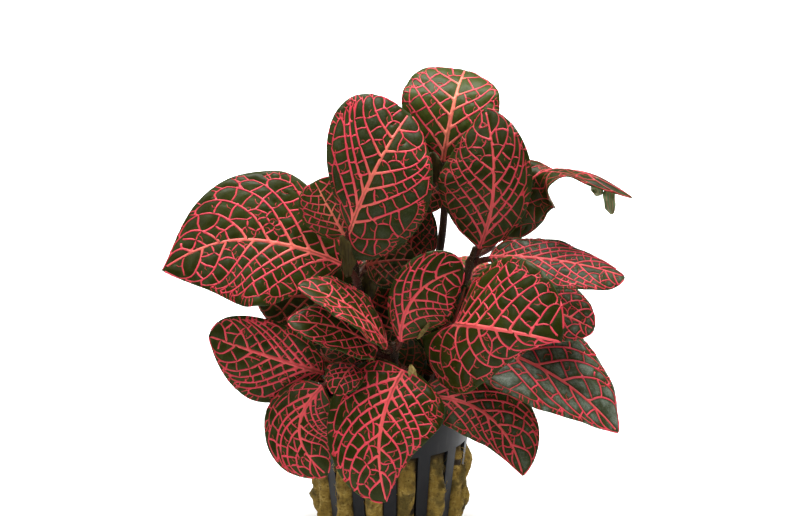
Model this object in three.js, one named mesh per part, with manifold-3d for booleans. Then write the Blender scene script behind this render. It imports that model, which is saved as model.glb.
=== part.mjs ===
// A potted nerve plant: eight leafy shoots with pink-netted leaves, rooted in a plug of rock wool
// that fills a slatted net pot. Millimetres, +Z up, origin at the middle of the pot's foot, -Y to the viewer.
import * as THREE from "three";
import { mergeVertices } from "three/addons/utils/BufferGeometryUtils.js";
import Module from "manifold-3d";

const wasm = await Module();
wasm.setup();

// Net pot: a tapered cup with a plain band at the top and slats below it
const POT_HEIGHT = 50;
const POT_TOP_RADIUS = 25.5;
const POT_FOOT_RADIUS = 19.5;
const POT_WALL = 1.1;
const POT_FLOOR = 1.5;
const POT_SIDES = 42;
const SLATS = 14;
const SLAT_ANGLE = THREE.MathUtils.degToRad(9.8);
const SLOT_FOOT = 4.5;
const SLOT_TOP = 38;
const DRAINS = 7;
const DRAIN_RADII = [6, 15];

// Rock wool: fills the cup and bulges out between the slats
const WOOL_GAP = 0.35;
const WOOL_TOP = 45;
const WOOL_BULGE = 3;
const HOLE_FOOT = 37;

// Stems and leaf stalks
const STEM_RADIUS = 1.5;
const STEM_TIP_RADIUS = 1.1;
const STEM_SIDES = 6;
const STALK_RADIUS = 1.0;
const STALK_TIP_RADIUS = 0.4;
const STALK_SIDES = 5;
const KEEL_END = 0.14;

// Leaf blades and the nerves that lie on them
const BLADE = 0.7;
const FIRST_VEIN = 0.05;
const VEIN_SPAN = 0.78;
const VEIN_SWEEP = 0.3;
const BASE_ROW = 0.012;
const LAST_ROW = 0.9;
const NERVE_GAP = 0.4;
const NERVE = 0.45;
const NERVE_START = 0.02;
const MIDRIB_WIDTH = 1.7;
const SIDE_NERVE_WIDTH = 1.1;
const NERVE_REACH = 0.86;

const vec = (x, y, z) => new THREE.Vector3(x, y, z);
const radians = THREE.MathUtils.degToRad;

// Closed faceted geometry from a list of points and a list of triangles
function geometryFrom(points, faces) {
  const geometry = new THREE.BufferGeometry();
  const numbers = points.flatMap((point) => [point.x, point.y, point.z]);
  geometry.setAttribute("position", new THREE.Float32BufferAttribute(numbers, 3));
  geometry.setIndex(faces.flat());
  return geometry;
}

// A geometry as a solid that can be joined and cut
function solidFrom(geometry) {
  const bare = geometry.index ? geometry.toNonIndexed() : geometry.clone();
  bare.deleteAttribute("normal");
  bare.deleteAttribute("uv");
  const merged = mergeVertices(bare, 1e-4);
  return new wasm.Manifold(
    new wasm.Mesh({
      numProp: 3,
      vertProperties: new Float32Array(merged.attributes.position.array),
      triVerts: new Uint32Array(merged.index.array),
    }),
  );
}

// The geometry of a joined or cut solid
function geometryOf(solid) {
  const mesh = solid.getMesh();
  const geometry = new THREE.BufferGeometry();
  geometry.setAttribute("position", new THREE.BufferAttribute(mesh.vertProperties, 3));
  geometry.setIndex(new THREE.BufferAttribute(mesh.triVerts, 1));
  return geometry;
}

// Repeatable random numbers from 0 to 1
function randomFrom(seed) {
  let state = seed;
  return () => {
    state = (state * 1664525 + 1013904223) % 4294967296;
    return state / 4294967296;
  };
}

// A tapered tube along points, with flat ends
function taperedTube(points, radii, sides) {
  const rings = [];
  let across = null;
  points.forEach((point, i) => {
    const ahead = points[Math.min(i + 1, points.length - 1)];
    const behind = points[Math.max(i - 1, 0)];
    const along = ahead.clone().sub(behind).normalize();
    across = across || (Math.abs(along.z) > 0.9 ? vec(1, 0, 0) : vec(0, 0, 1));
    across = across.clone().addScaledVector(along, -across.dot(along)).normalize();
    const third = along.clone().cross(across);
    for (let k = 0; k < sides; k++) {
      const angle = (2 * Math.PI * k) / sides;
      rings.push(
        point
          .clone()
          .addScaledVector(across, radii[i] * Math.cos(angle))
          .addScaledVector(third, radii[i] * Math.sin(angle)),
      );
    }
  });
  const faces = [];
  for (let i = 0; i + 1 < points.length; i++) {
    for (let k = 0; k < sides; k++) {
      const a = i * sides + k;
      const b = i * sides + ((k + 1) % sides);
      faces.push([a, b, b + sides], [a, b + sides, a + sides]);
    }
  }
  const last = (points.length - 1) * sides;
  for (let k = 1; k + 1 < sides; k++) {
    faces.push([0, k + 1, k], [last, last + k, last + k + 1]);
  }
  return geometryFrom(rings, faces);
}

// A leaf: its stalk leaves the stem at a height, its blade runs from base to tip and faces a way.
// The shape: arch and bend of the midrib, curl back and hook sideways of the tip and wave of the edge in mm;
// fold and roll of the left and right half and twist between two places along the blade in degrees; how far in mm
// each half's lobe hangs back past the base; each half's share of the even width and how pointed it is at base and
// tip (low is blunt); and the side veins in a half.
const LEAF_SHAPE = {
  arch: 3,
  bend: 0,
  curl: 0,
  hook: 0,
  fold: [6, 6],
  roll: [14, 14],
  twist: 0,
  twisted: [0.2, 0.7],
  wave: 0.4,
  lobe: [0, 0],
  left: [1, 0.5, 0.6],
  right: [1, 0.5, 0.6],
  veins: 5,
};

// Shoots: each stem's points, from its foot in the rock wool to its growing tip, and its leaves
const SHOOTS = {
  left: {
    stem: [[-5, -1, 39], [-6, -1, 58], [-9, -3, 80], [-12, -5, 101]],
    leaves: {
      broad_left: {
        height: 84, base: [-14, -8, 94], tip: [-67, -14, 101], face: [0, -0.8, 0.62], width: 41, bend: 4,
        curl: 3, hook: -6, wave: 0.8, left: [1.04, 0.9, 0.82], right: [1.15, 1, 1.3], veins: 6,
      },
      tall_left: {
        height: 92, base: [-12, -9, 104.5], tip: [6, 3, 138.2], face: [0.1, -1, 0.25], width: 36, arch: 5,
        bend: -2, curl: 2, lobe: [0, 8], left: [1.03, 1, 0.42], right: [1.08, 0.36, 0.6], veins: 6,
      },
      young_left: {
        height: 98, base: [-13.5, -5.9, 102.5], tip: [-22.5, -4.4, 119], face: [-0.1, -1, 0.15], width: 16,
        arch: 0.5, roll: [4, 4], left: [1.1, 0.5, 0.4], right: [1.2, 0.5, 0.4], veins: 3,
      },
      young_rear: {
        height: 97, base: [-14, 1, 99], tip: [-31, 12, 112], face: [-0.3, -0.7, 0.6], width: 16, veins: 3,
      },
      shaded_left: {
        height: 70, base: [-15, 1.5, 81], tip: [-41, 3, 81], face: [0, -0.9, 0.4], width: 24, arch: 2,
        lobe: [0, 6], right: [1.2, 0.4, 0.8], veins: 3,
      },
      shaded_middle: {
        height: 86, base: [-7, -1, 92], tip: [8, -3, 94], face: [0, -0.9, 0.5], width: 17, veins: 3,
      },
    },
  },
  front: {
    stem: [[1, -8, 39], [1, -10, 52], [1, -12, 62], [1, -13, 71]],
    leaves: {
      upright_front: {
        height: 67, base: [3, -14, 72], tip: [22, -12, 94], face: [0.1, -1, 0.2], width: 22, bend: -6,
        left: [0.8, 0.9, 0.45], right: [1.15, 0.5, 0.5],
      },
      folded_front: {
        height: 68, base: [-1, -15, 71], tip: [-27, -24, 92], face: [-0.2, -0.4, 1], width: 20,
        arch: 4, fold: [12, 12], veins: 4,
      },
      leaning_front: {
        height: 64, base: [-4, -16, 70], tip: [-30, -27, 82], face: [-0.1, -0.6, 0.8], width: 17, arch: 4, veins: 4,
      },
      apron: {
        height: 56, base: [4, -18, 64], tip: [-1, -33, 28], face: [0.1, -0.9, 0.45], width: 35, arch: 6,
        bend: 5, wave: 1, lobe: [2, 0.5], left: [1.02, 0.34, 1.05], right: [0.92, 0.42, 0.6], veins: 6,
      },
      small_front: {
        height: 51, base: [-10.8, -20.6, 66.4], tip: [-16.4, -27.8, 59.8], face: [-0.2, -0.8, 0.5], width: 12,
        arch: 2, veins: 3,
      },
      shaded_front: {
        height: 60, base: [-4, -9, 67], tip: [-21, -11, 69], face: [0, -0.8, 0.7], width: 14,
        arch: 2, veins: 3,
      },
    },
  },
  back: {
    stem: [[7, 7, 39], [11, 9, 70], [16, 9, 100], [17, 8, 122]],
    leaves: {
      crown: {
        height: 116, base: [16, 8, 122], tip: [23, 26, 147.5], face: [-0.1, -0.9, 0.3], width: 31, arch: 7,
        curl: 2, wave: 0.8, left: [1.04, 0.5, 0.4], right: [0.9, 0.5, 0.5], veins: 5,
      },
      below_crown: {
        height: 113, base: [13, 10, 117], tip: [10, 4, 107], face: [0, -1, 0.3], width: 13,
        arch: 2, veins: 3,
      },
      behind_middle: {
        height: 84, base: [5, 5, 89], tip: [8, 8, 111], face: [0.1, -1, 0.2], width: 16, arch: 2, veins: 4,
      },
      crown_rear: {
        height: 112, base: [14, 14, 112], tip: [22, 46, 120], face: [0, 0.1, 1], width: 28, arch: 6, veins: 3,
      },
    },
  },
  right: {
    stem: [[10, 1, 39], [15, 2, 60], [22, 2, 84], [26, 1, 97]],
    leaves: {
      upright_right: {
        height: 92, base: [27, 0, 97], tip: [28, 4, 139], face: [-0.2, -1, 0.15], width: 28, arch: 4,
        bend: 4.5, curl: 3, wave: 0.6, left: [1.22, 0.65, 0.8], right: [0.82, 0.75, 0.7], veins: 6,
      },
      curled_right: {
        height: 92, base: [32, 7, 98], tip: [68.5, 2, 121], face: [0, -0.9, 0.4], width: 24, arch: 1, bend: -10.5,
        hook: 10, fold: [6, -20], twist: -90, twisted: [0.4, 0.6], wave: 2, left: [0.55, 0.5, 0.7],
        right: [1, 0.35, 0.8],
      },
      level_right: {
        height: 88, base: [30, -1, 94.5], tip: [70.5, -9, 90.5], face: [0.1, -0.6, 0.8], width: 22,
        wave: 0.8, left: [0.75, 0.4, 0.85], right: [0.9, 0.6, 0.5], veins: 5,
      },
      shaded_right: {
        height: 75, base: [32, 2, 80], tip: [62, -4, 72.5], face: [0.2, -0.7, 0.6], width: 21, arch: 4,
        left: [1.1, 0.5, 0.5], veins: 4,
      },
      shaded_core: {
        height: 50, base: [14, -1.6, 57], tip: [23, -1.4, 86], face: [0, -1, 0.05], width: 25, arch: 0.5,
        fold: [1, 1], roll: [2, 2], right: [0.7, 0.5, 0.6], veins: 3,
      },
      rear_right_high: {
        height: 72, base: [25, 8, 78], tip: [54, 32, 70], face: [0.3, 0.1, 1], width: 28, arch: 8, veins: 3,
      },
    },
  },
  low_right: {
    stem: [[9, -6, 39], [13, -6, 52], [16, -6, 64], [19, -7, 75]],
    leaves: {
      broad_front: {
        height: 70, base: [19.5, -15, 77.5], tip: [50, -35.5, 78.5], face: [0.1, -0.95, 0.35], width: 46, arch: 7,
        fold: [-4, -14], roll: [8, 20], lobe: [0, 13], left: [0.98, 0.4, 0.42], right: [0.95, 0.34, 1.5], veins: 6,
      },
      lance_right: {
        height: 60, base: [24, -6, 69], tip: [69, -15, 43], face: [0.3, -0.55, 0.8], width: 34, arch: 7,
        wave: 0.6, left: [1.22, 0.6, 0.75], right: [0.9, 0.5, 0.95], veins: 5,
      },
      shaded_foot: {
        height: 48, base: [7, -4.4, 55], tip: [-3, -4.8, 72], face: [0, -1, 0.05], width: 17, arch: 0.5,
        fold: [1, 1], roll: [2, 2], veins: 3,
      },
      under_right: {
        height: 52, base: [8, -17, 55.4], tip: [39.5, -30, 35], face: [0.1, -0.74, 0.62], width: 24, arch: 2,
        bend: -8, left: [1.1, 0.85, 0.8], right: [0.8, 0.6, 0.9], veins: 5,
      },
    },
  },
  low_left: {
    stem: [[-9, -6, 39], [-13, -9, 50], [-17, -11, 57], [-20, -13, 62]],
    leaves: {
      low_left_upper: {
        height: 58, base: [-20, -14, 62], tip: [-54, -18, 75], face: [-0.1, -1, 0.2], width: 27, arch: 2,
        wave: 0.6, left: [1.05, 0.8, 0.9], right: [0.78, 0.5, 0.4], veins: 5,
      },
      low_left_lower: {
        height: 54, base: [-20, -21.2, 60.2], tip: [-18.5, -30.4, 35.5], face: [-0.3, -0.9, 0.2], width: 21,
        bend: 7, left: [1.05, 0.5, 0.6], right: [1.1, 0.55, 0.7],
      },
      shaded_low: {
        height: 56, base: [-14, -7, 59], tip: [-31, 3, 69], face: [0, -0.8, 0.6], width: 18, veins: 3,
      },
    },
  },
  rear_left: {
    stem: [[-5, 9, 39], [-7, 12, 55], [-8, 14, 70], [-9, 15, 84]],
    leaves: {
      rear_left_high: {
        height: 80, base: [-12, 17, 84], tip: [-40, 36, 92], face: [-0.3, 0, 1], width: 32, arch: 7, veins: 3,
      },
      rear_middle: {
        height: 74, base: [-5, 19, 81], tip: [-9, 55, 82], face: [0, 0, 1], width: 34, arch: 8, veins: 3,
      },
      rear_left_low: {
        height: 52, base: [-10, 18, 56], tip: [-38, 42, 44], face: [-0.3, 0.3, 1], width: 28, arch: 8,
        veins: 3,
      },
    },
  },
  rear_right: {
    stem: [[13, 12, 39], [16, 14, 52], [18, 15, 62], [20, 16, 72]],
    leaves: {
      rear_low: {
        height: 49, base: [8, 22, 54], tip: [3, 56, 38], face: [0, 0.4, 1], width: 30, arch: 6, veins: 3,
      },
      rear_inner: {
        height: 58, base: [9, 17, 60], tip: [2, 34, 83], face: [0, -0.9, 0.5], width: 34, arch: 3, veins: 3,
      },
      rear_right_low: {
        height: 58, base: [24, 18, 64], tip: [52, 36, 48], face: [0.4, 0.3, 1], width: 27, arch: 7, veins: 3,
      },
      rear_young: {
        height: 70, base: [21, 19, 72], tip: [30, 42, 81], face: [0.2, -0.4, 1], width: 19,
        arch: 5, veins: 3,
      },
    },
  },
};

// The leaf's surface: where a point s of the way along the blade and t of the way to its edge lies.
// t runs from -1 on the left edge to 1 on the right one, seen from above with the tip ahead.
function leafSurface(leaf) {
  const base = vec(...leaf.base);
  const chord = vec(...leaf.tip).sub(base);
  const length = chord.length();
  const ahead = chord.clone().normalize();
  const face = vec(...leaf.face);
  face.addScaledVector(ahead, -face.dot(ahead)).normalize();
  const right = ahead.clone().cross(face);

  const midrib = (s) => {
    const bump = 4 * s * (1 - s);
    const tail = Math.max(0, (s - 0.5) / 0.5) ** 2;
    return base
      .clone()
      .addScaledVector(chord, s)
      .addScaledVector(face, leaf.arch * bump - leaf.curl * tail)
      .addScaledVector(right, leaf.bend * bump + leaf.hook * tail);
  };

  const frameAt = (s) => {
    const step = 0.01;
    const along = midrib(Math.min(s + step, 1)).sub(midrib(Math.max(s - step, 0))).normalize();
    const up = face.clone().addScaledVector(along, -face.dot(along)).normalize();
    up.applyAxisAngle(along, radians(leaf.twist) * THREE.MathUtils.smoothstep(s, ...leaf.twisted));
    return { along, up, right: along.clone().cross(up) };
  };

  const halfWidth = (s, [share, base, tip]) => {
    const widest = base / (base + tip);
    return (share * leaf.width * (s / widest) ** base * ((1 - s) / (1 - widest)) ** tip) / 2;
  };

  const point = (s, t) => {
    const frame = frameAt(s);
    const half = t < 0 ? 0 : 1;
    const reach = Math.abs(t);
    const h = halfWidth(s, half ? leaf.right : leaf.left);
    const fold = radians(leaf.fold[half]);
    const roll = radians(leaf.roll[half]);
    const out = (h / roll) * (Math.sin(fold) - Math.sin(fold - roll * reach));
    const rise = (h / roll) * (Math.cos(fold - roll * reach) - Math.cos(fold));
    const ripple = Math.sin(2 * Math.PI * (2.6 * s + 0.35 * half));
    const wave = leaf.wave * reach ** 2 * ((2 * h) / leaf.width) * ripple;
    const back = leaf.lobe[half] * reach * (2 - reach) * (1 - s) ** 3;
    return midrib(s)
      .addScaledVector(frame.right, Math.sign(t) * out)
      .addScaledVector(frame.up, rise + wave)
      .addScaledVector(ahead, -back);
  };

  const normal = (s, t) => {
    const inner = THREE.MathUtils.clamp(s, 0.03, 0.97);
    const step = 0.02;
    const alongway = point(inner + step, t).sub(point(inner - step, t));
    const acrossway = point(inner, Math.min(t + step, 1)).sub(point(inner, Math.max(t - step, -1)));
    return acrossway.cross(alongway).normalize();
  };

  return { length, base, midrib, frameAt, halfWidth, point, normal };
}

// Side veins leave the midrib at even steps and run forwards to the edge: r names the vein, t the way out
function alongAt(r, t) {
  const sweep = VEIN_SWEEP * (1 - Math.exp(-r / 0.05)) * (1 - r) ** 0.7;
  const reach = Math.abs(t);
  return r + sweep * (0.8 * reach + 0.2 * reach ** 3);
}
const veinRow = (k, veins) => FIRST_VEIN + (VEIN_SPAN * k) / veins;

// Rows of the blade's mesh: the base, one near it on larger leaves, one on each side vein, one near the tip and
// the tip
function bladeRows(leaf) {
  const rows = leaf.width < 20 ? [0] : [0, BASE_ROW];
  for (let k = 0; k < leaf.veins; k++) rows.push(veinRow(k, leaf.veins));
  return [...rows, LAST_ROW, 1];
}

const COLUMNS = [-1, -0.5, 0, 0.5, 1];

// The middle of the blade's thickness at each row and column, and its normal
function bladeGrid(leaf, surface) {
  return bladeRows(leaf).map((r) =>
    COLUMNS.map((t) => {
      const s = alongAt(r, t);
      return { at: surface.point(s, t), normal: surface.normal(s, t) };
    }),
  );
}

// One blade as a thin closed sheet
function bladeGeometry(grid) {
  const last = grid.length - 1;
  const width = COLUMNS.length;
  const points = [];
  const add = (cell, side) => points.push(cell.at.clone().addScaledVector(cell.normal, (side * BLADE) / 2)) - 1;
  const sheet = [1, -1].map((side) => {
    const base = add(grid[0][2], side);
    const tip = add(grid[last][2], side);
    return grid.map((row, i) => {
      if (i === 0) return COLUMNS.map(() => base);
      if (i === last) return COLUMNS.map(() => tip);
      return row.map((cell) => add(cell, side));
    });
  });
  const faces = [];
  const push = (a, b, c) => {
    if (a !== b && b !== c && a !== c) faces.push([a, b, c]);
  };
  for (let i = 0; i < last; i++) {
    for (let j = 0; j + 1 < width; j++) {
      const [upper, lower] = sheet;
      const leftHalf = j < 2;
      const corners = (s) => [s[i][j], s[i][j + 1], s[i + 1][j + 1], s[i + 1][j]];
      const [a, b, c, d] = corners(upper);
      const [e, f, g, h] = corners(lower);
      if (leftHalf) {
        push(a, b, c), push(a, c, d);
        push(e, g, f), push(e, h, g);
      } else {
        push(a, b, d), push(b, c, d);
        push(e, h, f), push(f, h, g);
      }
    }
    const edge = (j, flip) => {
      const [u0, u1, l0, l1] = [sheet[0][i][j], sheet[0][i + 1][j], sheet[1][i][j], sheet[1][i + 1][j]];
      flip ? (push(u0, u1, l0), push(u1, l1, l0)) : (push(u0, l0, u1), push(u1, l0, l1));
    };
    edge(0, true);
    edge(width - 1, false);
  }
  return geometryFrom(points, faces);
}

// How much each corner of a cell counts at a point in it, for a cell split from its first corner or its second
const sharesAcross = (u, v, first) => (first ? [1 - u, u - v, v, 0] : [1 - v, 0, u, v - u]);
const sharesBack = (u, v, first) => (first ? [1 - u - v, u, 0, v] : [0, 1 - v, u + v - 1, 1 - u]);

// A point on the faceted blade, lifted off it
function liftedPoint(grid, rows, r, t, lift) {
  const i = Math.max(rows.findIndex((row) => row > r) - 1, 0);
  const j = Math.max(COLUMNS.findIndex((column) => column > t) - 1, 0);
  const v = (r - rows[i]) / (rows[i + 1] - rows[i]);
  const u = (t - COLUMNS[j]) / (COLUMNS[j + 1] - COLUMNS[j]);
  const corners = [grid[i][j], grid[i][j + 1], grid[i + 1][j + 1], grid[i + 1][j]];
  const shares = j < 2 ? sharesAcross(u, v, u >= v) : sharesBack(u, v, u + v <= 1);
  const mix = (key) => corners.reduce((sum, cell, k) => sum.addScaledVector(cell[key], shares[k]), vec(0, 0, 0));
  return mix("at").addScaledVector(mix("normal").normalize(), lift);
}

// The midrib and side veins of one leaf, as one flat rib work just above the blade
function nerveGeometry(leaf, surface, grid) {
  const rows = bladeRows(leaf);
  const scale = Math.min(1, leaf.width / 26);
  const spots = [];
  const upper = [];
  const spot = (r, t) => spots.push([r, t]) - 1;
  const ribSpots = (r) => {
    const half = (scale * MIDRIB_WIDTH * (1 - 0.6 * r)) / 2;
    return [leaf.left, leaf.right].map((ends, i) => {
      const t = half / Math.max(surface.halfWidth(r, ends), 2.5);
      return spot(r, i ? t : -t);
    });
  };
  const spine = (from, to) => upper.push([from[0], from[1], to[1]], [from[0], to[1], to[0]]);

  let reached = ribSpots(NERVE_START);
  for (let k = 0; k < leaf.veins; k++) {
    const r = veinRow(k, leaf.veins);
    const thick = (scale * SIDE_NERVE_WIDTH * (1 - 0.3 * r)) / 2 / surface.length;
    const low = ribSpots(r - thick);
    const high = ribSpots(r + thick);
    spine(reached, low);
    spine(low, high);
    [-1, 1].forEach((side, i) => {
      const lowElbow = spot(r - 0.8 * thick, side * 0.5);
      const highElbow = spot(r + 0.8 * thick, side * 0.5);
      const end = spot(r, side * NERVE_REACH);
      const strip = [
        [low[i], lowElbow, highElbow],
        [low[i], highElbow, high[i]],
        [lowElbow, end, highElbow],
      ];
      upper.push(...(side > 0 ? strip : strip.map(([a, b, c]) => [a, c, b])));
    });
    reached = high;
  }
  upper.push([reached[0], reached[1], spot(LAST_ROW, 0)]);

  const floor = BLADE / 2 + NERVE_GAP;
  const layers = [floor + NERVE, floor];
  const points = layers.flatMap((lift) => spots.map(([r, t]) => liftedPoint(grid, rows, r, t, lift)));
  return geometryFrom(points, slabFaces(upper, spots.length));
}

// A slab's faces: the upper ones, the same ones turned over underneath, and walls round the open edges
function slabFaces(upper, count) {
  const edges = new Set(upper.flatMap(([a, b, c]) => [`${a},${b}`, `${b},${c}`, `${c},${a}`]));
  const faces = [];
  for (const [a, b, c] of upper) {
    faces.push([a, b, c], [a + count, c + count, b + count]);
    for (const [from, to] of [[a, b], [b, c], [c, a]]) {
      if (!edges.has(`${to},${from}`)) faces.push([from, from + count, to], [to, from + count, to + count]);
    }
  }
  return faces;
}

// The stalk from the stem to the blade, running on as a keel under the midrib
function stalkGeometry(leaf, surface, stem) {
  const steps = 3;
  let leaving = 0;
  while (leaving < 1 && stem.getPoint(leaving).z < leaf.height) leaving += 0.01;
  const start = stem.getPoint(Math.min(leaving, 1));
  const { along, up } = surface.frameAt(0);
  const end = surface.base.clone().addScaledVector(up, BLADE / 4 - STALK_RADIUS);
  const gap = end.distanceTo(start);
  const rise = stem.getTangent(Math.min(leaving, 1)).multiplyScalar(0.3 * gap);
  const curve = new THREE.CubicBezierCurve3(
    start,
    start.clone().add(rise),
    end.clone().addScaledVector(along, -0.45 * gap),
    end,
  );
  const points = [];
  for (let i = 0; i <= steps; i++) points.push(curve.getPoint(i / steps));
  const sunk = surface.frameAt(KEEL_END).up.multiplyScalar(-STALK_TIP_RADIUS);
  points.push(surface.midrib(KEEL_END).add(sunk));
  const radii = points.map((_, i) => (i === points.length - 1 ? STALK_TIP_RADIUS : STALK_RADIUS));
  return taperedTube(points, radii, STALK_SIDES);
}

function stemGeometry(stem) {
  const steps = 5;
  const points = [];
  const radii = [];
  for (let i = 0; i <= steps; i++) {
    points.push(stem.getPoint(i / steps));
    radii.push(THREE.MathUtils.lerp(STEM_RADIUS, STEM_TIP_RADIUS, i / steps));
  }
  return taperedTube(points, radii, STEM_SIDES);
}

const potRadius = (z) => THREE.MathUtils.lerp(POT_FOOT_RADIUS, POT_TOP_RADIUS, z / POT_HEIGHT);

// A sector of a ring, between two radii and two heights, turned to an angle from the front
function sector(inner, outer, angle, low, high, turn) {
  const shape = new THREE.Shape();
  const corner = (radius, a) => [radius * Math.sin(a), -radius * Math.cos(a)];
  shape.moveTo(...corner(inner, turn - angle / 2));
  shape.lineTo(...corner(outer, turn - angle / 2));
  shape.lineTo(...corner(outer, turn + angle / 2));
  shape.lineTo(...corner(inner, turn + angle / 2));
  shape.closePath();
  const geometry = new THREE.ExtrudeGeometry(shape, { depth: high - low, bevelEnabled: false });
  return geometry.translate(0, 0, low);
}

function netPot() {
  const chamfer = 0.5;
  const profile = [
    [0, 0],
    [POT_FOOT_RADIUS - chamfer, 0],
    [potRadius(chamfer), chamfer],
    [POT_TOP_RADIUS, POT_HEIGHT],
    [POT_TOP_RADIUS - POT_WALL, POT_HEIGHT],
    [potRadius(POT_FLOOR) - POT_WALL, POT_FLOOR],
    [0, POT_FLOOR],
  ].map(([x, y]) => new THREE.Vector2(x, y));
  const cup = new THREE.LatheGeometry(profile, POT_SIDES).rotateX(Math.PI / 2);
  let solid = solidFrom(cup);
  const slotAngle = (2 * Math.PI) / SLATS - SLAT_ANGLE;
  for (let k = 0; k < SLATS; k++) {
    const turn = ((k + 0.5) * 2 * Math.PI) / SLATS;
    const inner = POT_FOOT_RADIUS - 4;
    const outer = POT_TOP_RADIUS + 4;
    solid = solid.subtract(solidFrom(sector(inner, outer, slotAngle, SLOT_FOOT, SLOT_TOP, turn)));
  }
  for (let k = 0; k < DRAINS; k++) {
    const turn = (k * 2 * Math.PI) / DRAINS;
    solid = solid.subtract(solidFrom(sector(...DRAIN_RADII, radians(16), -1, POT_FLOOR + 1, turn)));
  }
  return geometryOf(solid);
}

// The rock wool's outside: inside the slats it stays clear of the wall, between them it swells out
function rockWoolOutside() {
  const random = randomFrom(7);
  const slot = (2 * Math.PI) / SLATS - SLAT_ANGLE;
  const clear = radians(0.95);
  const step = radians(0.5);
  const middle = 0.5;
  const columns = [];
  for (let k = 0; k < SLATS; k++) {
    const start = (k * 2 * Math.PI) / SLATS + SLAT_ANGLE / 2;
    const lump = 0.6 + 0.5 * random();
    columns.push({ angle: start + clear, swell: 0 });
    columns.push({ angle: start + clear + step, swell: 0.45 });
    columns.push({ angle: start + middle * slot, swell: lump });
    columns.push({ angle: start + slot - clear - step, swell: 0.45 });
    columns.push({ angle: start + slot - clear, swell: 0 });
  }
  const foot = POT_FLOOR + WOOL_GAP;
  const levels = [foot, SLOT_FOOT + 0.7, SLOT_FOOT + 2.2, 15, 25, SLOT_TOP - 2.4, SLOT_TOP - 0.8, WOOL_TOP];
  const bulged = [0, 0, 0.5, 1, 1, 0.6, 0, 0];
  const points = [];
  levels.forEach((z, row) => {
    columns.forEach(({ angle, swell }) => {
      const inside = potRadius(z) - POT_WALL - WOOL_GAP;
      const lump = 0.8 + 0.4 * random();
      const outside = potRadius(z) + WOOL_BULGE * swell * bulged[row] * lump;
      const radius = swell && bulged[row] ? outside : inside;
      points.push(vec(radius * Math.sin(angle), -radius * Math.cos(angle), z));
    });
  });
  const n = columns.length;
  const faces = [];
  for (let i = 0; i + 1 < levels.length; i++) {
    for (let j = 0; j < n; j++) {
      const a = i * n + j;
      const b = i * n + ((j + 1) % n);
      faces.push([a, b, b + n], [a, b + n, a + n]);
    }
  }
  const low = points.push(vec(0, 0, foot)) - 1;
  const high = points.push(vec(0, 0, WOOL_TOP)) - 1;
  const top = (levels.length - 1) * n;
  for (let j = 0; j < n; j++) {
    faces.push([low, (j + 1) % n, j], [high, top + j, top + ((j + 1) % n)]);
  }
  return geometryFrom(points, faces);
}

// A plain hole in the rock wool for one stem
function stemHole(stem) {
  const sides = 8;
  const radius = (STEM_RADIUS + WOOL_GAP + 0.25) / Math.cos(Math.PI / sides);
  const foot = stem.getPoint(0);
  const ahead = stem.getTangent(0);
  const reach = (z) => foot.clone().addScaledVector(ahead, (z - foot.z) / ahead.z);
  return taperedTube([reach(HOLE_FOOT), reach(WOOL_TOP + 2)], [radius, radius], sides);
}

function rockWool(stems) {
  let solid = solidFrom(rockWoolOutside());
  for (const stem of stems) solid = solid.subtract(solidFrom(stemHole(stem)));
  return geometryOf(solid);
}

const POT_PLASTIC = new THREE.MeshStandardMaterial({ color: 0x35363a, roughness: 0.55, metalness: 0 });
const ROCK_WOOL = new THREE.MeshStandardMaterial({ color: 0x9a8136, roughness: 0.95, metalness: 0 });
const LEAF_GREEN = new THREE.MeshStandardMaterial({ color: 0x2c4420, roughness: 0.5, metalness: 0 });
const NERVE_PINK = new THREE.MeshStandardMaterial({ color: 0xe8475c, roughness: 0.55, metalness: 0 });

function piece(name, geometry, material) {
  const mesh = new THREE.Mesh(geometry, material);
  mesh.name = name;
  return mesh;
}

const plant = new THREE.Group();
const curveOf = ({ stem }) => new THREE.CatmullRomCurve3(stem.map((point) => vec(...point)));
const stems = Object.values(SHOOTS).map(curveOf);
plant.add(piece("net_pot", netPot(), POT_PLASTIC));
plant.add(piece("rock_wool", rockWool(stems), ROCK_WOOL));
Object.entries(SHOOTS).forEach(([shootName, { leaves }], i) => {
  let shoot = solidFrom(stemGeometry(stems[i]));
  for (const [name, shape] of Object.entries(leaves)) {
    const leaf = { ...LEAF_SHAPE, ...shape };
    const surface = leafSurface(leaf);
    const grid = bladeGrid(leaf, surface);
    shoot = shoot.add(solidFrom(stalkGeometry(leaf, surface, stems[i]))).add(solidFrom(bladeGeometry(grid)));
    plant.add(piece("nerves_" + name, nerveGeometry(leaf, surface, grid), NERVE_PINK));
  }
  plant.add(piece("shoot_" + shootName, geometryOf(shoot), LEAF_GREEN));
});

export default plant;
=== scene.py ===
"""A potted nerve plant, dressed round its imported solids.

Leaves are worked out in millimetres, as the solids are, and every mesh is written in metres.
"""

import math
import random
from functools import lru_cache
from types import SimpleNamespace

import bpy
import numpy as np
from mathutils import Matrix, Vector, noise
from mathutils.geometry import delaunay_2d_cdt


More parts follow.
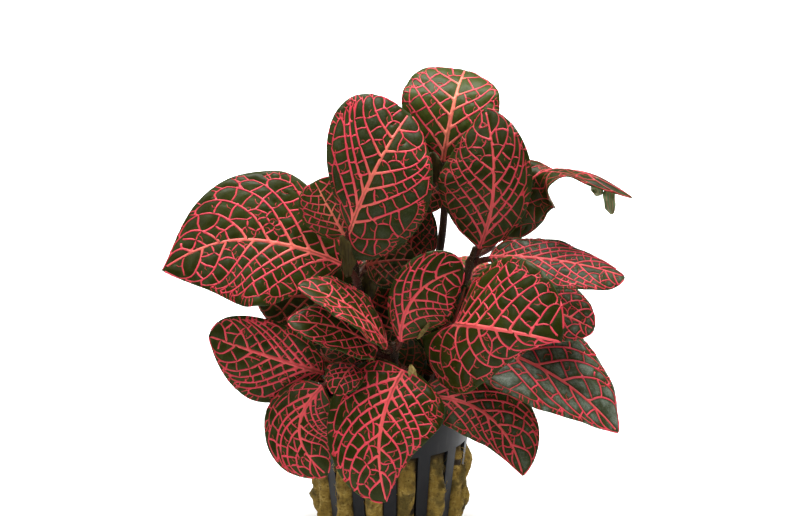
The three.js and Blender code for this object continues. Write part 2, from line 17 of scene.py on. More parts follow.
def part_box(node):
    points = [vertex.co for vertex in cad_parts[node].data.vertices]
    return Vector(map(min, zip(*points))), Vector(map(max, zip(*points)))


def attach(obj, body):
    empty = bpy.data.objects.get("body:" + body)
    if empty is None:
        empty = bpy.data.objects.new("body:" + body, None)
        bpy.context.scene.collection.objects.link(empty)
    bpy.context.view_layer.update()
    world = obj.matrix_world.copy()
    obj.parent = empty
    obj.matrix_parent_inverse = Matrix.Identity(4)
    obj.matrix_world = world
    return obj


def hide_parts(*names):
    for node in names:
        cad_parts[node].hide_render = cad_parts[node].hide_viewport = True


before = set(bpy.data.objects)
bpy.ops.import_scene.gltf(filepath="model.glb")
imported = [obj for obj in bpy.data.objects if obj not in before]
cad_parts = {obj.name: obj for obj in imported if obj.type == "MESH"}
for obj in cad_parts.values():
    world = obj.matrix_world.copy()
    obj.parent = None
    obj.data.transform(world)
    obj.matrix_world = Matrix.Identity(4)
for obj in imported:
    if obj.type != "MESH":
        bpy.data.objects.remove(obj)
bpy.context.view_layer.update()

bl_info = {
    "name": "Nerve plant in a net pot",
    "version": (1, 0, 0),
    "blender": (4, 5, 0),
    "location": "View3D > Sidebar > Nerve plant",
    "description": "Grows a nerve plant's leaves, stems, rock wool and slatted pot round its solids",
    "category": "Add Mesh",
}

MM = 0.001
TURN = 2 * math.pi

# Heights of the pot and the rock wool, read off their solids
_, POT_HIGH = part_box("net_pot")
WOOL_LOW, WOOL_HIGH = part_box("rock_wool")
POT_HEIGHT = POT_HIGH.z / MM
WOOL_FOOT = WOOL_LOW.z / MM
WOOL_TOP = WOOL_HIGH.z / MM

# The pot as its solid has it, in millimetres
POT_TOP_RADIUS = 25.5
POT_FOOT_RADIUS = 19.5
FOOT_INSET = 0.5
FOOT_HEIGHTS = (0, 0.5, 1.6)
BAND_HEIGHTS = (42, 46)
FLOOR_RADII = (2.5, 17)
SLATS = 14
SLAT_ANGLE = math.radians(9.8)
SLOT_FOOT = 4.5
SLOT_TOP = 38
DRAINS = 7
DRAIN_ANGLE = math.radians(16)
DRAIN_RADII = (6, 15)
WOOL_GAP = 0.35

# How finely the pot is cut: parts of a slat and of a slot on the way round, and rings over slots and drains
SLAT_PARTS = 4
SLOT_PARTS = 6
SLOT_RINGS = 9
DRAIN_RINGS = 4

# Main veins: where side veins leave the midrib, as shares of the blade, how fast they turn forward at its
# base, where the midrib ends, and how much both kinds taper
BASE_ROWS = (0.004, 0.018)
FIRST_VEIN = 0.04
VEIN_SPAN = 0.86
BASE_TURN = 0.05
TIP_SWEEP = 0.95
TIP_ROW = 0.98
MIDRIB_END = 0.972
MIDRIB_TAPER = 0.66
VEIN_TAPER = 0.6

# The net of a half blade, as shares of the way to its edge
LOOP_AT = (0.83, 0.92)
LOOP_FOOT = 0.86
LOOP_BULGE = 0.06
RIM_AT = 0.985

# A grown leaf's width, from which smaller leaves' veins are scaled, the least share that their main veins,
# fine veins and cells come down to, and the waves along a blade's edge
GROWN_WIDTH = 26
LEAST_MAIN = 0.5
LEAST_FINE = 0.75
LEAST_CELL = 0.62
WAVES = 2.6
RUFFLES = 5.3
RUFFLE_DEPTH = 0.22

# How finely a blade is cut, in millimetres: steps along its outline, along its veins and between them, how
# far the last ones stay from a vein, and how close corners may come. A place is found by so many halvings.
OUTLINE_STEP = 0.8
VEIN_STEP = 0.95
FILL_STEP = 1.25
FILL_CLEAR = 0.38
MERGE = 0.03
HALVINGS = 14

# How a blade thins towards its edge and swells beside a vein, how much of the swelling and of the veins shows
# below, and how a vein stands on top, in millimetres and shares
EDGE_FADE = 1.2
EDGE_SHARE = 0.35
QUILT_REACH = 0.9
UNDER_QUILT = 0.7
RIB_MOST = 0.6
RIB_SHARE = 0.8
VEIN_GROOVE = 0.09
VEIN_LIFT = 0.03
VEIN_CROWN = 0.3
VEIN_ROOT = 0.2

# Stems and stalks: points along each, sides round it and how red it is, and how a stem swells where a leaf
# leaves it, in millimetres
STEM_STEPS, STEM_SIDES, STEM_BLUSH = 46, 14, 0.2
STALK_STEPS, STALK_SIDES, STALK_BLUSH = 14, 10, 0.9
NODE_SWELL = 0.32
NODE_REACH = 1.3
STEM_MOST = 2.0

# How far a stalk's end is sunk into its blade, in millimetres, and the keel under the midrib that it runs out
# into: shares of the blade, depths in millimetres and shares of the stalk's radius
STALK_SUNK = 0.18
KEEL_AT = np.array((0.04, 0.1, 0.2, 0.34))
KEEL_DEPTH = np.array((0.75, 0.6, 0.45, 0.25))
KEEL_TAPER = np.array((0.8, 0.66, 0.5, 0.25))

# Hairs for each side of a stem's tube and their radii, and the loose fibres of the rock wool
HAIRS = 9
HAIR_RADII = (0.045, 0.035, 0.012)
FIBRES = 520
FIBRE_RADII = (0.04, 0.075)
FIBRE_SEED = 11

# How much of a slot's side and of its ends the rock wool leaves free, as a share and in millimetres, and the
# heights over which it swells out above the slot's foot and draws in below its top
SLOT_SIDE = 0.045
SLOT_END = 0.6
SWELL_RISE = 8
SWELL_FALL = 10

# How a leaf is shaped where it says nothing else: millimetres and degrees, left half before right half. Then
# come its looks: how many side veins a half has, how far they sweep forward in each half, how they crowd at
# the base, how young the blade is, how long the net's cells and how thick its veins are against those of
# other leaves, how pale the veins are near the midrib, how much painted shade darkens the blade and browns
# the veins, and how much painted grey sheen lies on the blade's bulges.
LEAF_SHAPE = {
    "arch": 3,
    "bend": 0,
    "curl": 0,
    "hook": 0,
    "fold": (6, 6),
    "roll": (14, 14),
    "twist": 0,
    "twisted": (0.2, 0.7),
    "wave": 0.4,
    "lobe": (0, 0),
    "left": (1, 0.5, 0.6),
    "right": (1, 0.5, 0.6),
    "veins": 6,
    "sweep": (0.68, 0.68),
    "crowd": 1.2,
    "youth": 0,
    "cell": 1,
    "vein_scale": 1,
    "pale": 0.25,
    "tan": 0,
    "painted_sheen": 0,
}

# Each shoot's stem, from its foot in the rock wool to its tip, as the solids have it
STEMS = {
    "left": [(-5, -1, 39), (-6, -1, 58), (-9, -3, 80), (-12, -5, 101)],
    "front": [(1, -8, 39), (1, -10, 52), (1, -12, 62), (1, -13, 71)],
    "back": [(7, 7, 39), (11, 9, 70), (16, 9, 100), (17, 8, 122)],
    "right": [(10, 1, 39), (15, 2, 60), (22, 2, 84), (26, 1, 97)],
    "low_right": [(9, -6, 39), (13, -6, 52), (16, -6, 64), (19, -7, 75)],
    "low_left": [(-9, -6, 39), (-13, -9, 50), (-17, -11, 57), (-20, -13, 62)],
    "rear_left": [(-5, 9, 39), (-7, 12, 55), (-8, 14, 70), (-9, 15, 84)],
    "rear_right": [(13, 12, 39), (16, 14, 52), (18, 15, 62), (20, 16, 72)],
}

# The leaves of each shoot, as the solids have them. Leaves deep in the plant get painted shade, and some
# leaves a painted grey sheen.
FOLIAGE = {
    "left": {
        "broad_left": dict(
            height=84, base=(-14, -8, 94), tip=(-67, -14, 101), face=(0, -0.8, 0.62), width=41, bend=4,
            curl=3, hook=-6, wave=0.8, left=(1.04, 0.9, 0.82), right=(1.15, 1, 1.3), veins=7,
            sweep=(0.72, 0.42), pale=0.6, cell=1.2,
        ),
        "tall_left": dict(
            height=92, base=(-12, -9, 104.5), tip=(6, 3, 138.2), face=(0.1, -1, 0.25), width=36, arch=5,
            bend=-2, curl=2, lobe=(0, 8), left=(1.03, 1, 0.42), right=(1.08, 0.36, 0.6), veins=6,
            sweep=(0.86, 0.7), pale=0.7, cell=1.25, crowd=1.35, painted_sheen=0.15,
        ),
        "young_left": dict(
            height=98, base=(-13.5, -5.9, 102.5), tip=(-22.5, -4.4, 119), face=(-0.1, -1, 0.15), width=16,
            arch=0.5, roll=(4, 4), left=(1.1, 0.5, 0.4), right=(1.2, 0.5, 0.4), veins=5, youth=0.08,
            pale=1, cell=1.2,
        ),
        "young_rear": dict(
            height=97, base=(-14, 1, 99), tip=(-31, 12, 112), face=(-0.3, -0.7, 0.6), width=16, veins=5,
            youth=0.4,
        ),
        "shaded_left": dict(
            height=70, base=(-15, 1.5, 81), tip=(-41, 3, 81), face=(0, -0.9, 0.4), width=24, arch=2,
            lobe=(0, 6), right=(1.2, 0.4, 0.8), veins=5, cell=1.3, tan=0.8,
        ),
        "shaded_middle": dict(
            height=86, base=(-7, -1, 92), tip=(8, -3, 94), face=(0, -0.9, 0.5), width=17, veins=5,
            tan=0.85,
        ),
    },
    "front": {
        "upright_front": dict(
            height=67, base=(3, -14, 72), tip=(22, -12, 94), face=(0.1, -1, 0.2), width=22, bend=-6,
            left=(0.8, 0.9, 0.45), right=(1.15, 0.5, 0.5), veins=5, cell=1.15,
        ),
        "folded_front": dict(
            height=68, base=(-1, -15, 71), tip=(-27, -24, 92), face=(-0.2, -0.4, 1), width=20, arch=4,
            fold=(12, 12), veins=4, cell=1.4,
        ),
        "leaning_front": dict(
            height=64, base=(-4, -16, 70), tip=(-30, -27, 82), face=(-0.1, -0.6, 0.8), width=17, arch=4,
            veins=4, cell=1.5,
        ),
        "apron": dict(
            height=56, base=(4, -18, 64), tip=(-1, -33, 28), face=(0.1, -0.9, 0.45), width=35, arch=6,
            bend=5, wave=1, lobe=(2, 0.5), left=(1.02, 0.34, 1.05), right=(0.92, 0.42, 0.6), veins=7,
            sweep=(0.62, 0.62), crowd=1.5,
        ),
        "small_front": dict(
            height=51, base=(-10.8, -20.6, 66.4), tip=(-16.4, -27.8, 59.8), face=(-0.2, -0.8, 0.5),
            width=12, arch=2, veins=4,
        ),
        "shaded_front": dict(
            height=60, base=(-4, -9, 67), tip=(-21, -11, 69), face=(0, -0.8, 0.7), width=14, arch=2,
            veins=4, tan=0.7,
        ),
    },
    "back": {
        "crown": dict(
            height=116, base=(16, 8, 122), tip=(23, 26, 147.5), face=(-0.1, -0.9, 0.3), width=31, arch=7,
            curl=2, wave=0.8, left=(1.04, 0.5, 0.4), right=(0.9, 0.5, 0.5), veins=5, youth=0.12, pale=1,
            sweep=(0.66, 0.6), cell=1.3,
        ),
        "below_crown": dict(
            height=113, base=(13, 10, 117), tip=(10, 4, 107), face=(0, -1, 0.3), width=13, arch=2, veins=4,
            tan=0.7,
        ),
        "behind_middle": dict(
            height=84, base=(5, 5, 89), tip=(8, 8, 111), face=(0.1, -1, 0.2), width=16, arch=2, veins=5,
            tan=0.6,
        ),
        "crown_rear": dict(
            height=112, base=(14, 14, 112), tip=(22, 46, 120), face=(0, 0.1, 1), width=28, arch=6,
        ),
    },
    "right": {
        "upright_right": dict(
            height=92, base=(27, 0, 97), tip=(28, 4, 139), face=(-0.2, -1, 0.15), width=28, arch=4,
            bend=4.5, curl=3, wave=0.6, left=(1.22, 0.65, 0.8), right=(0.82, 0.75, 0.7), veins=6,
            sweep=(0.72, 0.72), crowd=1.35, cell=1.1, vein_scale=0.9, tan=0.2,
        ),
        "curled_right": dict(
            height=92, base=(32, 7, 98), tip=(68.5, 2, 121), face=(0, -0.9, 0.4), width=24, arch=1,
            bend=-10.5, hook=10, fold=(6, -20), twist=-90, twisted=(0.4, 0.6), wave=2,
            left=(0.55, 0.5, 0.7), right=(1, 0.35, 0.8), veins=4, cell=1.25, vein_scale=0.62, tan=0.25,
        ),
        "level_right": dict(
            height=88, base=(30, -1, 94.5), tip=(70.5, -9, 90.5), face=(0.1, -0.6, 0.8), width=22,
            wave=0.8, left=(0.75, 0.4, 0.85), right=(0.9, 0.6, 0.5), painted_sheen=0.55, tan=0.08,
        ),
        "shaded_right": dict(
            height=75, base=(32, 2, 80), tip=(62, -4, 72.5), face=(0.2, -0.7, 0.6), width=21, arch=4,
            left=(1.1, 0.5, 0.5), veins=5, painted_sheen=0.75,
        ),
        "shaded_core": dict(
            height=50, base=(14, -1.6, 57), tip=(23, -1.4, 86), face=(0, -1, 0.05), width=25, arch=0.5,
            fold=(1, 1), roll=(2, 2), right=(0.7, 0.5, 0.6), veins=5, tan=0.95,
        ),
        "rear_right_high": dict(
            height=72, base=(25, 8, 78), tip=(54, 32, 70), face=(0.3, 0.1, 1), width=28, arch=8,
        ),
    },
    "low_right": {
        "broad_front": dict(
            height=70, base=(19.5, -15, 77.5), tip=(50, -35.5, 78.5), face=(0.1, -0.95, 0.35), width=46,
            arch=7, fold=(-4, -14), roll=(8, 20), lobe=(0, 13), left=(0.98, 0.4, 0.42),
            right=(0.95, 0.34, 1.5), sweep=(0.62, 0.45), crowd=1.3, pale=0.3, veins=6, cell=1.3,
        ),
        "lance_right": dict(
            height=60, base=(24, -6, 69), tip=(69, -15, 43), face=(0.3, -0.55, 0.8), width=34, arch=7,
            wave=0.6, left=(1.22, 0.6, 0.75), right=(0.9, 0.5, 0.95), veins=5, cell=1.9, painted_sheen=1,
        ),
        "shaded_foot": dict(
            height=48, base=(7, -4.4, 55), tip=(-3, -4.8, 72), face=(0, -1, 0.05), width=17, arch=0.5,
            fold=(1, 1), roll=(2, 2), veins=4, tan=0.95,
        ),
        "under_right": dict(
            height=52, base=(8, -17, 55.4), tip=(39.5, -30, 35), face=(0.1, -0.74, 0.62), width=24, arch=2,
            bend=-8, left=(1.1, 0.85, 0.8), right=(0.8, 0.6, 0.9), tan=0.25, painted_sheen=0.4,
        ),
    },
    "low_left": {
        "low_left_upper": dict(
            height=58, base=(-20, -14, 62), tip=(-54, -18, 75), face=(-0.1, -1, 0.2), width=27, arch=2,
            wave=0.6, left=(1.05, 0.8, 0.9), right=(0.78, 0.5, 0.4), veins=7, crowd=1.45, cell=1,
            sweep=(0.74, 0.74), tan=0.15,
        ),
        "low_left_lower": dict(
            height=54, base=(-20, -21.2, 60.2), tip=(-18.5, -30.4, 35.5), face=(-0.3, -0.9, 0.2), width=21,
            bend=7, left=(1.05, 0.5, 0.6), right=(1.1, 0.55, 0.7), veins=6, crowd=1.4, cell=0.95,
            sweep=(0.78, 0.78), tan=0.08,
        ),
        "shaded_low": dict(
            height=56, base=(-14, -7, 59), tip=(-31, 3, 69), face=(0, -0.8, 0.6), width=18, veins=4,
            tan=0.8,
        ),
    },
    "rear_left": {
        "rear_left_high": dict(
            height=80, base=(-12, 17, 84), tip=(-40, 36, 92), face=(-0.3, 0, 1), width=32, arch=7,
        ),
        "rear_middle": dict(
            height=74, base=(-5, 19, 81), tip=(-9, 55, 82), face=(0, 0, 1), width=34, arch=8,
        ),
        "rear_left_low": dict(
            height=52, base=(-10, 18, 56), tip=(-38, 42, 44), face=(-0.3, 0.3, 1), width=28, arch=8,
        ),
    },
    "rear_right": {
        "rear_low": dict(
            height=49, base=(8, 22, 54), tip=(3, 56, 38), face=(0, 0.4, 1), width=30, arch=6,
        ),
        "rear_inner": dict(
            height=58, base=(9, 17, 60), tip=(2, 34, 83), face=(0, -0.9, 0.5), width=34, arch=3, tan=0.6,
        ),
        "rear_right_low": dict(
            height=58, base=(24, 18, 64), tip=(52, 36, 48), face=(0.4, 0.3, 1), width=27, arch=7,
        ),
        "rear_young": dict(
            height=70, base=(21, 19, 72), tip=(30, 42, 81), face=(0.2, -0.4, 1), width=19, arch=5, veins=5,
            youth=0.4,
        ),
    },
}

# Narrow folded scales where leaves come out of the stems: half their thickness, their shape where they say
# nothing else, and how dry each is. The two flaps are green bits of blade at the tip of the curled leaf.
SCALE_HALF = 0.12
SCALE_SHAPE = {"arch": 1, "fold": (35, 35), "roll": (30, 30), "wave": 0.8, "dry": None}
SCALES = {
    "bract_left": dict(
        shoot="left", base=(-12.6, -12.4, 91.5), tip=(-14.6, -13.6, 105), face=(0.6, -1, 0.1), width=5,
        dry=0.05,
    ),
    # Painted shade: a dark olive scale set deep in the plant's middle where only shade is seen
    "bract_behind": dict(
        shoot="left", base=(-8.4, -2, 80), tip=(-6.6, 3.4, 92), face=(0, -1, 0.2), width=8, dry=0,
    ),
    "bract_crown": dict(
        shoot="back", base=(15, 5.6, 116.5), tip=(12.6, 4.8, 126), face=(-0.2, -1, 0), width=6, dry=0,
    ),
    "bract_front": dict(
        shoot="front", base=(6.5, -17, 61.2), tip=(6.1, -18.6, 66.2), face=(0.2, -1, 0.3), width=2.8,
        dry=1,
    ),
    "bract_right": dict(
        shoot="low_right", base=(8.2, -15, 73), tip=(12.4, -15.6, 79), face=(0, -1, 0.3), width=1.3,
        dry=0.5,
    ),
    "bract_low": dict(
        shoot="low_left", base=(-5.2, -17.4, 66.4), tip=(-6.2, -18, 69), face=(0, -1, 0.3), width=1.8,
        dry=1,
    ),
    "flap_near": dict(
        shoot="right", base=(61, 2.8, 118), tip=(62.8, 2, 112.8), face=(0.3, -1, 0.2), width=4.4,
    ),
    "flap_tip": dict(
        shoot="right", base=(66, 2.2, 116.6), tip=(67, 1.4, 107.2), face=(-0.3, -1, 0.1), width=4,
    ),
}


# Settings


def length(name, description, default):
    """A size that a user may change, in metres."""
    return bpy.props.FloatProperty(
        name=name, description=description, default=default, min=0, unit="LENGTH", precision=5
    )


def number(name, description, default, subtype="NONE"):
    """A plain number or an angle that a user may change."""
    return bpy.props.FloatProperty(name=name, description=description, default=default, subtype=subtype)


def colour(name, description, default):
    """A colour that a user may change, in linear light."""
    return bpy.props.FloatVectorProperty(
        name=name, description=description, default=default, size=3, min=0, max=1, subtype="COLOR"
    )


class NervePlantSizes(bpy.types.PropertyGroup):
    """Sizes of the plant's finer parts."""

    blade: length("Blade thickness", "Thickness of a leaf blade", 0.00046)
    quilt: length("Quilting", "How far the blade swells between its veins", 0.00042)
    midrib: length("Midrib width", "Width of a large leaf's midrib at its base", 0.0016)
    side_vein: length("Side vein width", "Width of a large leaf's side veins at the midrib", 0.00092)
    cross_vein: length("Cross vein width", "Width of the veins between the side veins", 0.00043)
    rim_vein: length("Rim vein width", "Width of the fine veins near the edge", 0.00031)
    spur: length("Spur width", "Width of the veinlets that end inside a cell", 0.00022)
    cell: length("Cell length", "Length of a cell of the net along its side veins", 0.003)
    rim_cell: length("Rim cell length", "Distance between the fine veins near the edge", 0.0015)
    stem: length("Stem radius", "Radius of a stem at its foot", 0.0015)
    stem_tip: length("Stem tip radius", "Radius of a stem at its tip", 0.0011)
    stalk: length("Stalk radius", "Radius of a leaf stalk", 0.001)
    hair: length("Hair length", "Length of the hairs on the stems", 0.0008)
    pot_wall: length("Pot wall", "Thickness of the pot's wall and slats", 0.0011)
    pot_floor: length("Pot floor", "Thickness of the pot's floor", 0.0015)
    pot_edge: length("Pot edge radius", "Rounding of the pot's edges", 0.0003)
    wool_swell: length("Wool swell", "How far the rock wool swells out between the slats", 0.0029)


class NervePlantColours(bpy.types.PropertyGroup):
    """Colours of the plant, its pot and its rock wool."""

    upper: colour("Upper side", "Green of a grown leaf's upper side", (0.0155, 0.0195, 0.0014))
    upper_light: colour("Upper side, light", "Green where the upper side is lighter", (0.032, 0.038, 0.0045))
    young: colour("Young leaf", "Green of a young leaf", (0.17, 0.24, 0.035))
    # Painted shade: a near black green laid over leaves deep in the plant, where shade falls
    shade: colour("Shaded leaf", "Green of leaves that grow in the plant's shade", (0.005, 0.0065, 0.001))
    # Painted sheen: a grey green that stands in for the light's sheen on the bulges of some leaves
    painted_sheen: colour("Bloom", "Grey bloom on the bulges of older leaves", (0.175, 0.21, 0.165))
    margin: colour("Margin", "Thin pale line along the leaf's edge", (0.05, 0.08, 0.022))
    under: colour("Underside", "Green of a leaf's underside", (0.13, 0.19, 0.07))
    under_vein: colour("Underside veins", "Veins seen from below", (0.42, 0.15, 0.09))
    vein: colour("Veins", "Coral red of the main veins", (0.71, 0.052, 0.084))
    vein_fine: colour("Fine veins", "Darker red of the finest veins", (0.44, 0.03, 0.034))
    vein_pale: colour("Pale veins", "Salmon of the veins near the midrib", (0.82, 0.235, 0.135))
    # Painted shade: the brown that veins of leaves deep in the plant, and the middle of wide veins near the
    # base, are darkened to
    vein_painted_shade: colour("Brown veins", "Brown of veins on shaded leaves", (0.13, 0.024, 0.008))
    stem: colour("Stems", "Olive brown of the stems", (0.012, 0.008, 0.004))
    hair: colour("Hairs", "Pale hairs on the stems", (0.3, 0.17, 0.11))
    stem_light: colour("Stems, light", "Lighter green of the stems", (0.034, 0.026, 0.009))
    bract: colour("Bracts", "Olive brown of the folded scales", (0.04, 0.03, 0.006))
    bract_dry: colour("Bracts, dry", "Straw of dried scales", (0.36, 0.27, 0.09))
    pot: colour("Pot", "Dark grey plastic", (0.0095, 0.01, 0.0115))
    pot_dust: colour("Dust", "Scuffs and dust on the plastic", (0.034, 0.032, 0.03))
    wool: colour("Rock wool", "Ochre fibres", (0.25, 0.16, 0.03))
    wool_light: colour("Rock wool, light", "Pale fibres", (0.46, 0.32, 0.08))
    # Dark of the pores between the fibres, and also the colour of the painted shade in the wool's pits, dips
    # and behind the slats
    wool_pores_and_shade: colour("Rock wool, dark", "Pores between the fibres", (0.02, 0.012, 0.004))
    algae: colour("Algae", "Olive tinge on the wet wool", (0.075, 0.055, 0.012))
    floor: colour("Floor", "Pale floor and backdrop", (0.93, 0.93, 0.93))


class NervePlantStage(bpy.types.PropertyGroup):
    """Camera and light."""

    elevation: number("Elevation", "How far the camera looks down", math.radians(15.5), "ANGLE")
    distance: length("Distance", "From the camera to the plant", 0.7)
    aim: bpy.props.FloatVectorProperty(
        name="Aim", description="Point that the camera looks at", default=(0.003, 0, 0.094), subtype="XYZ"
    )
    lens: number("Lens", "Focal length in millimetres", 103.95)
    key: number("Key light", "Power in watts", 4.3)
    backdrop: number("Backdrop light", "Power in watts", 26)
    top: number("Top light", "Power in watts", 3.2)
    sky: number("Sky", "Strength of the light from all round", 0.08)


# Shader nodes


class Wire:
    """A shader value that Python's operators can be used on."""

    def __init__(self, shader, socket):
        self.shader = shader
        self.socket = socket

    def math(self, operation, *others):
        """This value and the others, put through one Math node."""
        inputs = dict(enumerate([self, *others]))
        return self.shader.add("ShaderNodeMath", {"operation": operation}, inputs)

    def __add__(self, other):
        return self.math("ADD", other)

    def __mul__(self, other):
        return self.math("MULTIPLY", other)

    def __sub__(self, other):
        return self.math("SUBTRACT", other)

    def __rsub__(self, other):
        return self * -1 + other

    __radd__ = __add__
    __rmul__ = __mul__

    def ramp(self, low, high, first=0.0, last=1.0):
        """Runs smoothly from first to last as the value goes from low to high."""
        settings = {"interpolation_type": "SMOOTHSTEP"}
        inputs = {"Value": self, "From Min": low, "From Max": high, "To Min": first, "To Max": last}
        return self.shader.add("ShaderNodeMapRange", settings, inputs)


class Shader:
    """One material and its nodes."""

    def __init__(self, name):
        self.material = bpy.data.materials.new(name)
        self.material.use_nodes = True
        self.tree = self.material.node_tree
        self.tree.nodes.clear()

    def add(self, kind, settings=(), inputs=(), output=0):
        """Adds a node, sets it up, fills its sockets and gives one of its outputs."""
        node = self.tree.nodes.new(kind)
        for key, value in dict(settings).items():
            setattr(node, key, value)
        for key, value in dict(inputs).items():
            if isinstance(value, Wire):
                self.tree.links.new(value.socket, node.inputs[key])
            else:
                node.inputs[key].default_value = value
        return Wire(self, node.outputs[output]) if node.outputs else None

    def place(self, stretch=(1, 1, 1)):
        """The point in space, stretched along each axis."""
        point = self.add("ShaderNodeTexCoord", output="Object")
        return self.add("ShaderNodeVectorMath", {"operation": "MULTIPLY"}, {0: point, 1: stretch})

    def speckle(self, scale, detail=2.0, stretch=(1, 1, 1), rough=0.5):
        """Cloudy noise from 0 to 1 with so many spots a metre."""
        inputs = {"Vector": self.place(stretch), "Scale": scale, "Detail": detail, "Roughness": rough}
        return self.add("ShaderNodeTexNoise", {}, inputs, "Fac")

    def mark(self, name):
        """A number that the mesh holds at each point."""
        return self.add("ShaderNodeAttribute", {"attribute_name": name}, {}, "Fac")

    def mix(self, first, second, share):
        """A colour between two colours."""
        first, second = (c if isinstance(c, Wire) else (*c, 1) for c in (first, second))
        return self.add("ShaderNodeMix", {"data_type": "RGBA"}, {0: share, 6: first, 7: second}, 2)

    def bump(self, height, depth, strength):
        """The surface's direction, with this relief so many metres deep."""
        return self.add("ShaderNodeBump", {}, {"Height": height, "Distance": depth, "Strength": strength})

    def finish(self, **inputs):
        """Ends the tree in one surface with these values."""
        named = {key.replace("_", " "): value for key, value in inputs.items()}
        surface = self.add("ShaderNodeBsdfPrincipled", {}, named)
        self.add("ShaderNodeOutputMaterial", {}, {"Surface": surface})
        return self.material


def colours():
    """The colours in the panel."""
    return bpy.context.scene.nerve_plant_colours


def sizes():
    """The sizes in the panel, in metres."""
    return bpy.context.scene.nerve_plant_sizes


@lru_cache
def leaf_upper():
    """Waxy dark green, paler beside the veins and along the margin, with painted shade on leaves deep in the
    plant and a painted grey sheen on the bulges of some.
    """
    c = colours()
    shader = Shader("leaf_upper")
    clouds = shader.speckle(90, 3)
    grain = shader.speckle(2600, 2)
    green = shader.mix(c.upper, c.upper_light, clouds.ramp(0.35, 0.7) * 0.6 + grain.ramp(0.4, 0.75) * 0.4)
    green = shader.mix(green, c.young, shader.mark("youth"))
    # Painted shade: leaves deep in the plant are darkened towards near black
    green = shader.mix(green, c.shade, shader.mark("tan") * 0.85)
    # Painted sheen: grey green in patches on the bulges between the veins
    bulge = shader.mark("from_vein").ramp(-0.1, 0.9, 0.15, 1)
    patches = shader.speckle(160, 4, rough=0.7).ramp(0.35, 0.65, 0.2, 1) * grain.ramp(0.35, 0.65, 0.6, 1)
    green = shader.mix(green, c.painted_sheen, shader.mark("painted_sheen") * bulge * patches)
    beside = shader.mark("from_vein").ramp(0, 0.3, 1, 0)
    green = shader.mix(green, c.margin, beside * 0.25)
    rim = shader.mark("from_edge").ramp(0.1, 0.45, 1, 0)
    green = shader.mix(green, c.margin, rim)
    rough = clouds * 0.14 + grain * 0.1 + 0.27
    normal = shader.bump(grain + shader.speckle(900, 2), 0.00006, 0.55)
    return shader.finish(Base_Color=green, Roughness=rough, Normal=normal, Specular_IOR_Level=0.08)


@lru_cache
def leaf_under():
    """Matt light green with brownish pink veins."""
    c = colours()
    shader = Shader("leaf_under")
    clouds = shader.speckle(140, 3)
    vein = shader.mark("from_vein").ramp(-0.12, 0.16, 1, 0)
    green = shader.mix(c.under, c.young, shader.mark("youth") * 0.6)
    green = shader.mix(green, c.upper_light, clouds.ramp(0.35, 0.7) * 0.55)
    green = shader.mix(green, c.under_vein, vein * 0.85)
    normal = shader.bump(shader.speckle(1500, 2), 0.00006, 0.5)
    return shader.finish(Base_Color=green, Roughness=clouds * 0.1 + 0.52, Normal=normal)


@lru_cache
def vein_skin():
    """Coral veins: salmon near the midrib, dark red where they are fine, and darkened to brown by painted
    shade on leaves deep in the plant and along the middle of wide veins near the base.
    """
    c = colours()
    shader = Shader("vein_skin")
    width = shader.mark("vein_width")
    clouds = shader.speckle(160, 3)
    red = shader.mix(c.vein_fine, c.vein, width.ramp(0.18, 0.5))
    pale = shader.mark("pale") * width.ramp(0.42, 0.8) * clouds.ramp(0.3, 0.65, 0.6, 1)
    red = shader.mix(red, c.vein_pale, pale)
    # Painted shade: veins of leaves deep in the plant turn dark brown
    red = shader.mix(red, c.vein_painted_shade, shader.mark("tan"))
    # Painted shade along the middle of wide veins near the leaf's base
    middle = shader.mark("from_vein").ramp(-0.75, -0.35, 1, 0)
    middle = middle * shader.mark("from_base").ramp(0.12, 0.5, 1, 0)
    red = shader.mix(red, c.vein_painted_shade, middle * 0.75)
    normal = shader.bump(shader.speckle(2200, 2), 0.00005, 0.4)
    rough = clouds * 0.12 + 0.4
    return shader.finish(Base_Color=red, Roughness=rough, Normal=normal, Specular_IOR_Level=0.2)


@lru_cache
def stem_skin():
    """Olive brown stems with fine lengthwise streaks."""
    c = colours()
    shader = Shader("stem_skin")
    streaks = shader.speckle(900, 3, (1, 1, 0.12))
    clouds = shader.speckle(120, 2)
    brown = shader.mix(c.stem, c.stem_light, streaks.ramp(0.4, 0.7) * 0.5 + clouds.ramp(0.4, 0.7) * 0.4)
    brown = shader.mix(brown, c.vein_fine, shader.mark("blush") * clouds.ramp(0.3, 0.6, 0.04, 0.16))
    normal = shader.bump(streaks, 0.0001, 0.6)
    rough = clouds * 0.15 + 0.45
    return shader.finish(Base_Color=brown, Roughness=rough, Normal=normal, Specular_IOR_Level=0.15)


@lru_cache
def hair_skin():
    """Pale hairs, some of them greener."""
    c = colours()
    shader = Shader("hair_skin")
    straw = shader.mix(c.hair, c.young, shader.speckle(700, 2).ramp(0.4, 0.7) * 0.6)
    return shader.finish(Base_Color=straw, Roughness=0.5, Specular_IOR_Level=0.2)


@lru_cache
def bract_skin():
    """Papery scales, olive brown or dried to straw, with fine ribs."""
    c = colours()
    shader = Shader("bract_skin")
    ribs = shader.speckle(1400, 3, (1, 1, 0.1))
    olive = shader.mix(c.bract, c.stem, ribs.ramp(0.4, 0.65) * 0.7)
    straw = shader.mix(c.bract_dry, c.bract, ribs.ramp(0.45, 0.7) * 0.6)
    brown = shader.mix(olive, straw, shader.mark("dry"))
    normal = shader.bump(ribs, 0.0001, 0.5)
    rough = ribs * 0.2 + 0.5
    return shader.finish(Base_Color=brown, Roughness=rough, Normal=normal, Specular_IOR_Level=0.1)


